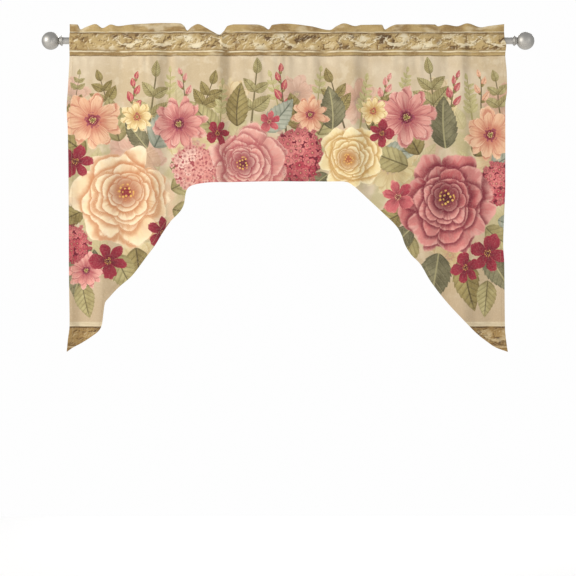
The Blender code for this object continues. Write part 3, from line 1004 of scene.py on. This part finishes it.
def motif_group(name):
    """A motif's group, its own place along and across it, its four dyes and its seed."""
    g = Group(name, {"Place": VECTOR, "Under": PLAIN}, {"Colour": tuple})
    x, y, number = g.split(g.after(g["Place"], g["Under"]))
    *dyes, seed = g.use("dyes", Code=number)
    return g, x, y, dyes, seed


FINE_RUFFLE = 0.45              # the small waves of a petal's edge, as a share of its large ones


def flower_group(name, fineness, ruffle):
    """A round motif's group, with its petals' uneven edge and brush strokes from its middle."""
    g, x, y, dyes, seed = motif_group(name)
    shifted = g.point(x + seed * 31, y + seed * 17)
    wide = g.noise(shifted, 2.6, 1.0) - 0.5
    fine = g.noise(shifted, 9.0, 2.0) - 0.5
    edge = wide * ruffle + fine * (ruffle * FINE_RUFFLE)
    reach = g.far(x, y)
    spoke = fineness / (reach + 0.02)
    stroke = g.noise(g.point(x * spoke, y * spoke, reach * 1.6 + seed * 9), 1.0, 2.0, flat=False)
    return g, g.point(x, y), dyes, seed, edge, stroke


def lay_petals(flower, rings, spin, waver=0.0):
    """Lays a flower's rings of petals, the outer first, over what is under it."""
    g, place, (tip, body, shade, _), seed, edge, stroke = flower
    colour, coverage = g["Under"], 0.0
    for radius, petals, turn, notch, over, up, cup, lip, root in rings:
        colour, coverage = g.use(
            "petal ring", Place=place, Centre_Across=over, Centre_Up=up, Radius=radius,
            Petals=petals, Turn=seed * spin + turn, Notch=notch, Ruffle=edge, Waver=waver,
            Stroke=stroke, Cup=cup, Lip=lip, Root=root, Seed=seed, Under=colour, Coverage=coverage,
            Tip=tip, Body=body, Shade=shade,
        )
    return colour


def stamens(g, x, y, under, radius, dots, pale, dark):
    """A dark eye with pale grains round it, over what is under it."""
    reach = g.far(x, y)
    near = g.cells(g.point(x, y), dots, 0.9)[0]
    colour = under.coat(g.step(reach + near * 0.06, radius, radius * 0.72), dark)
    grain = g.step(near, 0.36, 0.22) * g.step(reach, radius * 1.15, radius * 0.9)
    return colour.coat(grain * g.step(reach, radius * 0.25, radius * 0.5) * 0.9, pale)


# Rings of petals: radius, petals, turn, notch, centre across, centre up, cup, lip, root
ROSE_RINGS = (
    (1.00, 7.0, 0.3, 0.24, 0.00, 0.00, 0.10, 0.16, 0.60),
    (0.84, 5.0, 1.9, 0.16, 0.02, -0.02, 0.25, 0.14, 0.50),
    (0.68, 6.0, 0.8, 0.13, 0.00, 0.02, 0.40, 0.12, 0.36),
    (0.59, 5.0, 2.6, 0.12, -0.02, 0.05, 0.60, 0.12, 0.34),
    (0.49, 6.0, 1.2, 0.14, -0.01, 0.06, 0.75, 0.14, 0.36),
    (0.39, 5.0, 0.1, 0.17, -0.03, 0.09, 0.90, 0.16, 0.42),
    (0.29, 5.0, 2.2, 0.22, -0.04, 0.10, 1.00, 0.20, 0.60),
)
DAISY_RINGS = (
    (1.00, 9.0, 0.0, 0.50, 0.00, 0.00, 0.10, 0.05, 0.86),
    (0.86, 8.0, 1.1, 0.46, 0.00, 0.00, 0.10, 0.05, 0.80),
)
FLORET_RING = ((0.98, 5.0, 0.0, 0.62, 0.00, 0.00, 0.30, 0.10, 0.95),)
ROSE_EYE = (-0.04, 0.11, 0.15)
ROSE_GLOW = 0.42                # how far the heart's colour spreads into the petals
ROSE_WAVER = 0.34               # how far a ring's own slow waves bring its edge in and out


def rose_group():
    """A many-petalled garden rose seen a little from below."""
    flower = g, place, (_, _, shade, heart), _, _, stroke = flower_group("rose", 7.0, 0.16)
    colour = lay_petals(flower, ROSE_RINGS, 5, ROSE_WAVER)
    over, up, radius = ROSE_EYE
    x, y, _ = g.split(g.after(place, colour))
    x, y = x - over, y - up
    glow = g.step(g.far(x, y) + (stroke - 0.5) * 0.12, ROSE_GLOW, radius)
    colour = colour.coat(glow * 0.75, shade.coat(0.5, heart))
    g.put_out(stamens(g, x, y, colour, radius, 13.0, ink(226, 178, 92), heart))


def daisy_group():
    """An open flower with long loose petals and a dark ring of stamens."""
    flower = g, place, (_, _, shade, heart), _, _, stroke = flower_group("daisy", 12.0, 0.28)
    colour = lay_petals(flower, DAISY_RINGS, 5)
    x, y, _ = g.split(g.after(place, colour))
    colour = colour.coat(g.step(g.far(x, y) + (stroke - 0.5) * 0.9, 0.66, 0.14) * 0.8, shade)
    colour = stamens(g, x, y, colour, 0.25, 9.0, ink(150, 60, 84), heart)
    g.put_out(stamens(g, x, y, colour, 0.11, 20.0, ink(232, 206, 130), ink(122, 104, 50)))


def floret_group():
    """A small flower with five broad velvety petals and a pale eye."""
    flower = g, place, (_, _, shade, heart), *_ = flower_group("floret", 6.0, 0.25)
    colour = lay_petals(flower, FLORET_RING, 6)
    x, y, _ = g.split(g.after(place, colour))
    g.put_out(stamens(g, x, y, colour, 0.17, 12.0, heart, shade))


# Small flowers to the head's radius, how far out they go, their size in their own cell
POSY_LAYERS = ((4.6, 0.92, 0.50), (3.8, 0.86, 0.48), (3.0, 0.70, 0.48))


def posy_group():
    """A round head of many small four-petalled flowers, paler towards the light."""
    g, place, (tip, body, shade, heart), seed, edge, _ = flower_group("posy", 6.0, 0.30)
    x, y, _ = g.split(place)
    reach = g.far(x, y)
    colour = g["Under"].coat(g.step(reach + edge, 0.86, 0.78), shade)
    for layer, (fineness, inner, size) in enumerate(POSY_LAYERS):
        x, y, _ = g.split(g.after(place, colour))
        shift = seed * 23 + layer * 5.3
        _, tint, where = g.cells(g.point(x + shift, y + shift), fineness, 0.50)
        middle_x, middle_y, _ = g.split(where)
        middle_x, middle_y = middle_x - shift, middle_y - shift
        off_x = (x - middle_x) * fineness
        off_y = (y - middle_y) * fineness
        from_middle = g.far(middle_x, middle_y)
        red, green, _ = g.parts(tint)
        off = g.far(off_x, off_y)
        petals = abs(g.maths("SINE", g.maths("ARCTAN2", off_y, off_x) * 2 + red * 6))
        mask = g.step(off - size * (0.55 + 0.45 * petals ** 0.6), 0.0, -0.07)
        mask = mask * g.step(from_middle, inner + 0.02, inner)
        light = g.step(middle_y * 0.8 - middle_x * 0.5, -0.7, 0.8)
        petal = body.coat(light * 0.65 + (green - 0.3) * 0.8, tip)
        petal = petal.coat(g.step(off, 0.34, 0.04) * 0.62, shade)
        petal = petal.coat(g.step(off, 0.08, 0.04) * 0.7, heart)
        petal = petal.coat(g.step(reach, 0.45, 1.0) * 0.45, shade)
        colour = colour.coat(mask, petal)
    g.put_out(colour)


def leaf_group():
    """A toothed leaf with a midrib and side veins, one half lighter than the other."""
    g, x, y, (tip, body, shade, heart), seed = motif_group("leaf")
    blotch = g.noise(g.point(x + seed * 37, y + seed * 11), 4.0, 3.0)
    y = y - (seed - 0.5) * 0.5 * x * (1 - x)
    inside = g.maths("MINIMUM", g.maths("MAXIMUM", x, 0.0), 1.0)
    broad = 0.27 + 0.07 * g.maths("FRACT", seed * 7)
    width = broad * g.maths("SINE", (inside ** 0.72) * math.pi) ** 0.85
    off = abs(y)
    teeth = g.maths("FRACT", x * 9 - off * 2)
    width = width * (0.90 + 0.10 * teeth + (blotch - 0.5) * 0.12)
    mask = g.step(width - off, 0.0, 0.018) * g.step(off, 0.5, 0.48)
    vein = g.maths("FRACT", (x - off * 0.85) * 7.5)
    lit = g.step(y, 0.02, -0.02)
    colour = body.coat(lit * 0.36 + (blotch - 0.45) * 1.7, tip)
    colour = colour.coat((0.46 - blotch) * 1.8, shade)
    colour = colour.coat(g.step(vein, 0.55, 1.0) * 0.45 + g.step(vein, 0.12, 0.0) * 0.3, shade)
    colour = colour.coat(g.step(width - off, 0.06, 0.0) * 0.35, shade)
    colour = colour.coat(g.step(x, 0.35, 0.0) * 0.5, shade)
    side_vein = g.step(abs(vein - 0.5), 0.42, 0.5) * g.step(off, width * 0.9, width * 0.4)
    rib = g.step(off, 0.022, 0.008) * g.step(x, 0.97, 0.8)
    colour = colour.coat(g.maths("MAXIMUM", side_vein * 0.4, rib * 0.8), heart)
    g.put_out(g["Under"].coat(mask, colour))


def stem_group():
    """A thin stem with a slight bend."""
    g, x, y, (_, _, shade, heart), _ = motif_group("stem")
    off = abs(y) - STEM_HALF * (1.25 - 0.6 * x)
    mask = g.step(off, 0.006, 0.0) * g.step(abs(x - 0.5), 0.5, 0.48)
    colour = shade.coat(g.step(y, STEM_HALF, -STEM_HALF), heart)
    g.put_out(g["Under"].coat(mask * 0.92, colour))


# Gilt border, painted as a picture-frame moulding
GILT_DARK = ink(92, 66, 36)
GILT_BROWN = ink(147, 118, 73)
GILT = ink(180, 153, 101)
GILT_LIGHT = ink(192, 165, 113)
GILT_CREAM = ink(232, 218, 184)
COVE_PALE = ink(214, 197, 164)
CARVED = (
    # height of the carving, its paint
    (0.00, GILT_DARK), (0.12, GILT_BROWN), (0.32, GILT), (0.60, GILT_LIGHT), (0.88, GILT_CREAM),
)
GILT_HALF = 25.0                # half the carved band's height
GILT_LINES = (
    # over the band's middle, half its width, paint, strength
    (29.4, 1.7, GILT_CREAM, 0.75),
    # On the upper border this dark line is painted shade of the crease just under the upper seam; on
    # the lower border it is a printed moulding line.
    (26.2, 1.7, GILT_DARK, 1.00),
    (-26.2, 1.0, GILT_DARK, 0.45),
    (-29.0, 1.9, GILT_CREAM, 0.80),
    (-32.6, 1.2, GILT_BROWN, 0.80),
)
GILT_BORDERS = (
    # up from the lower seam to the band's middle, to its head, to its foot, darkening, pale cove
    (40.0, 400.0, -42.0, 0.0, 0.0),
    (-783.0, 41.0, -400.0, 0.60, 0.90),
)
LUMP = 34.0                     # across a carved leaf
CURL = 2.5                      # how far a leaf's veins turn on their way out
GARLAND = 96.0                  # from one end of a carved garland to its other end
GARLAND_HEAD = 17.0             # its ends over the band's middle
GARLAND_DROP = 29.0             # how far it hangs down between them


def carving_group():
    """A band carved with crowded leaves: its height, and a random tone for each leaf."""
    g = Group("carving", {"Across": 0.0, "Up": 0.0}, {"Height": float, "Tone": float})
    ragged = g.noise(g.point(g["Across"], g["Up"]), 0.040, 1.0) - 0.5
    grain = g.noise(g.point(g["Across"], g["Up"]), 0.15, 2.0) - 0.5
    x = g["Across"] + ragged * 26 + grain * 8
    y = (g["Up"] + ragged * 18 + grain * 8) * 1.15
    lump, tint, where = g.cells(g.point(x, y), 1 / LUMP, 0.95)
    middle_x, middle_y, _ = g.split(where)
    red, green, _ = g.parts(tint)
    around = g.maths("ARCTAN2", y - middle_y, x - middle_x) + red * 6
    lobes = abs(g.maths("SINE", around * 1.5 + lump * CURL))
    veins = abs(g.maths("SINE", around * 5 + lump * CURL * 2))
    leaf = g.step(lump * (1.8 - 0.8 * lobes), 0.95, 0.15)
    g.put_out(leaf + veins * g.step(lump, 0.1, 0.5) * 0.26 + grain * 0.50, green)


def gilt_group():
    """A painted gilt moulding over what is under it: a carved band between thin lines."""
    given = {"Middle": 0.0, "Head": 60.0, "Foot": -60.0, "Ageing": 0.0, "Cove": 0.0}
    g = Group("gilt moulding", {"Place": VECTOR, "Under": PLAIN, **given}, {"Colour": tuple})
    x, up, _ = g.split(g.after(g["Place"], g["Under"]))
    y = up - g["Middle"]
    high, tone = g.use("carving", Across=x, Up=up)
    lit = high - g.use("carving", Across=x - 2.0, Up=up + 2.0)[0]
    wash = g.noise(g.point(x, y), 0.016, 3.0)
    streak = g.noise(g.point(x * 0.22, y), 0.16, 2.0)
    base = g.mix(g.step(wash, 0.34, 0.62), GILT, GILT_BROWN)
    base = base.coat(g.step(streak, 0.5, 0.75) * 0.6, GILT_LIGHT)
    # Pale cream spots at random over the gilt ground.
    pale_spots = g.noise(g.point(x * 0.6 + 300, y), 0.032, 2.0)
    base = base.coat(g.step(pale_spots, 0.52, 0.74) * 0.45, GILT_CREAM)

    painted = g.ramp(high * 0.34 + tone * 0.40 + (wash - 0.5) * 1.5 - 0.03, CARVED)
    painted = painted.coat(g.step(lit, 0.08, 0.40) * 0.66, GILT_CREAM)
    painted = painted.coat(g.step(lit, -0.12, -0.46) * 0.80, GILT_DARK)
    painted = painted.coat(g.step(high, 0.10, -0.10) * 0.40, GILT_DARK)
    hang = abs(g.maths("SINE", (x + streak * 50) * math.pi / GARLAND))
    off = y - GARLAND_HEAD + GARLAND_DROP * hang + (high - 0.5) * 4
    half = 3.0 + 3.2 * hang
    here = g.step(g.noise(g.point(x, 7.0), 0.0062, 1.0), 0.42, 0.52)
    painted = painted.coat(g.step(abs(off), half, half * 0.4) * here * 0.70, GILT_CREAM)
    painted = painted.coat(g.step(abs(off + half + 1.4), 2.8, 0.6) * here * 0.70, GILT_DARK)
    # Darker towards the band's top and bottom edges.
    painted = painted.coat(g.step(abs(y), GILT_HALF * 0.5, GILT_HALF) * 0.45, GILT_BROWN)
    inside = g.step(abs(y + (streak - 0.5) * 3), GILT_HALF + 1.5, GILT_HALF - 2.5)
    colour = base.coat(inside, painted)

    ragged = (streak - 0.5) * 2.4
    # Printed moulding lines; on the upper border the dark one just under the upper seam is painted
    # shade of the seam's crease.
    for at, half, paint, strength in GILT_LINES:
        line = g.step(abs(y + ragged * 0.6 - at), half + 0.7, half - 0.5)
        colour = colour.coat(line * strength * g.step(streak, 0.25, 0.55), paint)
    low = y + ragged * 2.0
    foot = g.step(low, g["Foot"] - 0.9, g["Foot"] + 0.9)
    head = g.step(y, g["Head"] + 0.7, g["Head"] - 0.7)
    colour = colour.coat(g.step(low, g["Foot"] + 3.8, g["Foot"] + 1.0) * 0.75, GILT_DARK)
    # Darkens the whole moulding by this share, the lower border more than the upper.
    colour = colour.coat(g["Ageing"], g.mix(1.0, colour, GILT, "MULTIPLY"))
    cove = g.step(y, GILT_HALF + 2.0, GILT_HALF + 5.0) * (0.6 + streak * 0.6)
    colour = colour.coat(cove * g["Cove"], COVE_PALE)
    g.put_out(g["Under"].coat(foot * head, colour))


def weave_group():
    """The height of a plain weave with slubs."""
    g = Group("plain weave", {"Across": 0.0, "Up": 0.0, "Thread": 0.8}, {"Height": float})
    across, up = g["Across"], g["Up"]
    x = across * math.pi / g["Thread"]
    y = up * math.pi / g["Thread"]
    crossing = g.maths("SINE", x) * g.maths("SINE", y)
    weft = g.noise(g.point(across * 0.05, up * 0.9), 1.0, 2.0)
    warp = g.noise(g.point(across * 0.9, up * 0.05), 1.0, 2.0)
    g.put_out(crossing * 0.35 + weft * 0.9 + warp * 0.9)


# ---- Finishes

GROUND = ink(212, 193, 163)
GROUND_WARM = ink(200, 178, 142)
GROUND_PALE = ink(224, 208, 178)
GROUND_LOW = ink(176, 150, 115)
# Up from the lower seam: where each wash, and the ground's darkening low down, begins and where it
# is full
GARDEN_HEAD = (-85.0, -190.0)
GARDEN_FOOT = (-640.0, -500.0)
LOW_GROUND = (-430.0, -740.0)
WASH_GREEN = ink(172, 162, 112)
WASH_ROSE = ink(214, 170, 140)
WRONG_SIDE = ink(226, 216, 196)
SHOW_THROUGH = 0.34
THREAD_ACROSS = 0.9             # of the cloth's yarn
WEAVE_RELIEF = (0.22, 0.0006)   # strength, distance in metres
WEAVE_LEVEL = 0.9               # the weave's middle height
CLOTH_ROUGHNESS = 0.72
THREAD_COLOURS = (ink(176, 152, 110), ink(214, 194, 152))
NICKEL_COLOURS = (ink(174, 171, 164), ink(200, 196, 188))
# Painted shade of the brushing's grooves.
NICKEL_GROOVE_SHADE = ink(154, 151, 145)
NICKEL_RELIEF = (0.08, 0.0002)
NICKEL_ROUGHNESS = 0.42
BRUSHING = (900, 30, 30)        # how fine it is along the rod and across it
THREAD_TWIST = 900.0


def new_finish(name):
    material = bpy.data.materials.new(name)
    material.use_nodes = True
    return Bench(material.node_tree), material.node_tree.nodes["Principled BSDF"].inputs


def ground(b, x, y):
    """The bare ground of the print: beige with a painter's uneven washes, and darker towards the
    bottom.
    """
    place = b.point(x, y)
    cloud = b.noise(place, 0.006, 3.0)
    mottle = b.noise(place, 0.035, 3.0)
    colour = b.mix(b.step(cloud, 0.38, 0.66), GROUND, GROUND_WARM)
    colour = colour.coat(b.step(mottle, 0.50, 0.72) * 0.45, GROUND_PALE)
    garden = b.step(y, *GARDEN_HEAD) * b.step(y, *GARDEN_FOOT)
    drift = b.noise(place, 0.010, 3.0)
    colour = colour.coat(garden * b.step(drift, 0.42, 0.60) * 0.62, WASH_GREEN)
    colour = colour.coat(garden * b.step(drift, 0.42, 0.34) * 0.40, WASH_ROSE)
    # The ground darker towards the bottom.
    return colour.coat(b.step(y, *LOW_GROUND) * 0.7, GROUND_LOW)


def printed_cloth(layers):
    """The cloth's finish: the print on its right side, showing faintly on its wrong side."""
    b, shader = new_finish("printed cloth")
    flat_place = b.reading("flat_place")
    x, y, right_side = b.split(flat_place)
    colour = ground(b, x, y)
    for layer, motif, strength in layers:
        laid = b.use(motif, Place=b.reading(layer), Under=colour)[0]
        colour = laid if strength == 1.0 else colour.coat(strength, laid)
    weave = b.use("plain weave", Across=x, Up=y, Thread=THREAD_ACROSS)[0]
    for middle, head, foot, darkening, cove in GILT_BORDERS:
        colour = b.use(
            "gilt moulding", Place=flat_place, Under=colour, Middle=middle, Head=head, Foot=foot,
            Ageing=darkening, Cove=cove,
        )[0]
    brush = b.noise(b.point(x, y), 0.22, 4.0)
    bright = b.mix(1.0, colour, GROUND_PALE, "SCREEN")
    colour = colour.coat(b.step(brush, 0.40, 0.75) * 0.08, bright)
    wrong = b.mix(SHOW_THROUGH, WRONG_SIDE, colour)
    b.wire(shader["Base Color"], wrong.coat(right_side, colour))
    b.wire(shader["Roughness"], CLOTH_ROUGHNESS + (weave - WEAVE_LEVEL) * 0.06)
    b.wire(shader["Normal"], b.relief(weave, *WEAVE_RELIEF))
    b.wire(shader["Sheen Weight"], 0.12)
    b.wire(shader["Sheen Roughness"], 0.5)
    b.wire(shader["Specular IOR Level"], 0.25)


def sewing_thread():
    """Twisted sewing thread, beige like the ground."""
    b, shader = new_finish("sewing thread")
    place = b.lay("ShaderNodeTexCoord", out="Object")
    twist = b.noise(place, THREAD_TWIST, 2.0, flat=False)
    b.wire(shader["Base Color"], b.mix(twist, *THREAD_COLOURS))
    b.wire(shader["Roughness"], 0.5 + twist * 0.2)


def satin_nickel():
    """Satin nickel with fine brushing round the rod, its streaks darker as painted shade in their
    grooves.
    """
    b, shader = new_finish("satin nickel")
    x, y, z = b.split(b.lay("ShaderNodeTexCoord", out="Object"))
    scratches = [c * fineness for c, fineness in zip((x, y, z), BRUSHING)]
    brushing = b.noise(b.point(*scratches), 1.0, 2.0, flat=False)
    cloud = b.noise(b.point(x, y, z), 24.0, 3.0, flat=False)
    metal = b.mix(cloud, *NICKEL_COLOURS)
    # Brushed streaks, darkened as painted shade in their grooves.
    b.wire(shader["Base Color"], metal.coat(brushing * 0.35, NICKEL_GROOVE_SHADE))
    b.wire(shader["Roughness"], NICKEL_ROUGHNESS + brushing * 0.12 + cloud * 0.06)
    b.wire(shader["Normal"], b.relief(brushing, *NICKEL_RELIEF))
    b.wire(shader["Metallic"], 1.0)


def studio_paint():
    b, shader = new_finish("studio paint")
    b.wire(shader["Base Color"], ink(244, 243, 241))
    b.wire(shader["Roughness"], 0.9)


# ---- Stitching

STITCH = 2.9                    # length of a stitch
STITCH_GAP = 0.5
THREAD_RADIUS = 0.28
STITCH_SHAPE = (
    # share of its length, height over the cloth and thickness, in radii of the thread
    (0.0, -0.35, 0.55),
    (0.22, 0.75, 1.0),
    (0.78, 0.75, 1.0),
    (1.0, -0.35, 0.55),
)


def stitch_row(points, faces, run, out):
    """Adds a row of stitches along a run of points, each sunk a little at both its ends."""
    reach = reaches(run)
    track = np.array(run)

    def at(distance):
        return Vector([float(np.interp(distance, reach, track[:, k])) for k in range(3)])

    for i in range(int(reach[-1] / (STITCH + STITCH_GAP))):
        start = i * (STITCH + STITCH_GAP) + STITCH_GAP
        here, there = at(start), at(start + STITCH)
        side = (there - here).normalized().cross(out).normalized() * THREAD_RADIUS
        first = len(points)
        for share, lift, thick in STITCH_SHAPE:
            middle = here.lerp(there, share) + out * (lift * THREAD_RADIUS)
            corners = (side, out * THREAD_RADIUS, -side, -out * THREAD_RADIUS)
            points += [middle + corner * thick for corner in corners]
        rings = [range(first + 4 * k, first + 4 * k + 4) for k in range(len(STITCH_SHAPE))]
        for near, far in zip(rings, rings[1:]):
            for c in range(4):
                faces.append((near[c], far[c], far[c - 3], near[c - 3]))
        faces += [tuple(rings[0]), tuple(rings[-1])[::-1]]


def make_stitches(name, front_runs, back_runs):
    """One piece of sewing thread, its rows of stitches on the cloth's front and on its back."""
    points, faces = [], []
    for front, back in zip(front_runs, back_runs):
        stitch_row(points, faces, front, Vector((0, -1, 0)))
        stitch_row(points, faces, back, Vector((0, 1, 0)))
    thread = add_mesh(name, points, faces, "sewing thread")
    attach(thread, "root")
    return thread


def seam_runs(sheet, skin):
    """The two rows of stitching along the pocket."""
    return [sheet.run(skin, (slice(2, -2), row)) for row in (HEADER_STEPS, sheet.low_seam)]


def hem_runs(sheet, skin):
    """The row that holds the narrow hem, down one side, along the lower edge and up the other."""
    low = sheet.rows - len(HEM_ROWS) + STITCHED_ROW
    first = len(HEM_ROWS) - 1 - STITCHED_ROW
    last = len(sheet.places) - 1 - first
    top = sheet.low_seam + 1
    down, up = (first, slice(top, low)), (last, slice(low - 1, top - 1, -1))
    return [sheet.run(skin, down, (slice(first, last + 1), low), up)]


# ---- Rod and finials

FINIAL_SIDES = 72
BALL_RINGS = 30
ROD_SIDES = 48
ROD_STEPS = 12                  # from its middle to an end
EASED = 0.4                     # at the rod's ends
SOCKET_LIP = 0.3
# The neck and the flared collar: from the ball's centre, radius
COLLAR = (
    (24.0, 8.7), (24.6, 9.3), (24.8, 10.6), (25.6, 11.2), (27.0, 11.4), (28.0, 12.0),
    (29.2, 13.2), (30.0, 14.1), (31.2, 14.6), (32.4, 14.0), (33.0, 12.6), (33.4, 11.4),
    (34.3, 11.1), (34.8, 10.7),
)


def turned(name, profile, sides, node):
    """A nickel solid turned about X from one place on the axis to another. It stands for a node."""
    points, faces, rings = [], [], []
    for along_x, radius in profile:
        count = sides if radius else 1
        rings.append(range(len(points), len(points) + count))
        for i in range(count):
            angle = 2 * math.pi * i / sides
            points.append((along_x, radius * math.cos(angle), radius * math.sin(angle)))
    for near, far in zip(rings, rings[1:]):
        for i in range(sides):
            j = (i + 1) % sides
            if len(near) == 1:
                faces.append((near[0], far[j], far[i]))
            elif len(far) == 1:
                faces.append((near[i], near[j], far[0]))
            else:
                faces.append((near[i], near[j], far[j], far[i]))
    made = add_mesh(name, points, faces, "satin nickel", sharp=40)
    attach(made, "root")
    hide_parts(node)


def make_rod():
    """The rod, with its ends eased."""
    end = BALL_CENTRE - COLLAR_END + SOCKET_DEPTH - SEAT_GAP
    right = [(end, 0.0), (end, ROD_RADIUS - EASED), (end - EASED, ROD_RADIUS)]
    right += [(end - i * end / ROD_STEPS, ROD_RADIUS) for i in range(1, ROD_STEPS)]
    profile = [(-x, radius) for x, radius in right] + [(0.0, ROD_RADIUS)] + right[::-1]
    turned("nickel_rod", profile, ROD_SIDES, "rod")


def make_finial(name, side, node):
    """Ball, neck and flared collar, with the socket that the rod's end sits in."""
    neck = math.asin(COLLAR[0][1] / BALL_RADIUS)
    profile = [(-BALL_RADIUS, 0.0)]
    for i in range(1, BALL_RINGS + 1):
        angle = (math.pi - neck) * i / BALL_RINGS
        profile.append((-BALL_RADIUS * math.cos(angle), BALL_RADIUS * math.sin(angle)))
    wall = ROD_RADIUS + SEAT_GAP
    floor = COLLAR_END - SOCKET_DEPTH
    profile += [*COLLAR, (COLLAR_END - SOCKET_LIP, wall), (floor, wall), (floor, 0.0)]
    profile = [(side * (BALL_CENTRE - x), radius) for x, radius in profile][::-side]
    turned(name, profile, FINIAL_SIDES, node)


# ---- Studio. The lamps and the camera are in metres

FLOOR = ((-4000, -3000, -1620), (4000, -3000, -1620), (4000, 2400, -1620), (-4000, 2400, -1620))
VIEW_SPAN = 1.6053              # width and height that the camera takes in, at the drape
VIEW_MIDDLE = -0.689
CAMERA_AWAY = 5.2
SENSOR = 36.0
LAMPS = (
    # name, place, aim, width and height, power, colour
    ("key", (-3.5, -2.3, 0.7), (0.0, 0.0, -0.35), (1.3, 1.3), 100.0, (1.0, 0.985, 0.96)),
    ("fill", (3.0, -3.4, 0.2), (0.0, 0.0, -0.35), (2.2, 2.2), 22.0, (1.0, 1.0, 1.0)),
    ("low", (0.0, -2.3, -1.15), (0.0, 0.0, 0.0), (0.8, 0.45), 5.0, (1.0, 0.97, 0.92)),
    ("back", (0.6, 3.4, 1.2), (0.0, 0.0, -0.3), (2.4, 1.6), 90.0, (1.0, 1.0, 1.0)),
)
SKY_LIGHT = (0.56, 0.57, 0.59, 1.0)
SKY_SEEN = (0.99, 0.99, 0.99, 1.0)


def make_studio():
    """A pale floor, soft lights from the left front and the right, and a level camera."""
    add_mesh("studio_floor", FLOOR, [(0, 1, 2, 3)], "studio paint")
    for name, place, aim, size, power, colour in LAMPS:
        lamp = bpy.data.lights.new(name, "AREA")
        lamp.shape = "RECTANGLE"
        lamp.size, lamp.size_y = size
        lamp.energy = power
        lamp.color = colour
        made = add_object(name, lamp)
        made.location = place
        made.rotation_euler = (Vector(aim) - Vector(place)).to_track_quat("-Z", "Y").to_euler()

    scene = bpy.context.scene
    scene.world = bpy.data.worlds.new("studio")
    scene.world.use_nodes = True
    b = Bench(scene.world.node_tree)
    seen = b.lay("ShaderNodeLightPath", out="Is Camera Ray")
    sky = scene.world.node_tree.nodes["Background"].inputs
    b.wire(sky["Color"], b.mix(seen, SKY_LIGHT, SKY_SEEN))
    b.wire(sky["Strength"], 1.0)

    lens = bpy.data.cameras.new("camera")
    lens.sensor_width = SENSOR
    lens.lens = SENSOR * CAMERA_AWAY / VIEW_SPAN
    scene.camera = add_object("camera", lens)
    scene.camera.location = (0.0, -CAMERA_AWAY, VIEW_MIDDLE)
    scene.camera.rotation_euler = (math.pi / 2, 0.0, 0.0)
    scene.view_settings.view_transform = "Standard"


# ---- The whole


def main():
    for make in (
        dye_group, petal_ring_group, rose_group, daisy_group, floret_group, posy_group,
        leaf_group, stem_group, carving_group, gilt_group, weave_group,
        sewing_thread, satin_nickel, studio_paint,
    ):
        make()

    drape, layers, sheet = make_drape()
    printed_cloth(layers)
    drape.data.materials.append(bpy.data.materials["printed cloth"])
    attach(drape, "root")
    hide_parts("drape")
    seams, hems = (
        make_stitches(name, runs(sheet, sheet.front), runs(sheet, sheet.back))
        for name, runs in (("seam_stitches", seam_runs), ("hem_stitches", hem_runs))
    )

    make_rod()
    make_finial("nickel_finial_left", -1, "finial_left")
    make_finial("nickel_finial_right", 1, "finial_right")
    make_studio()


main()
bpy.context.view_layer.update()
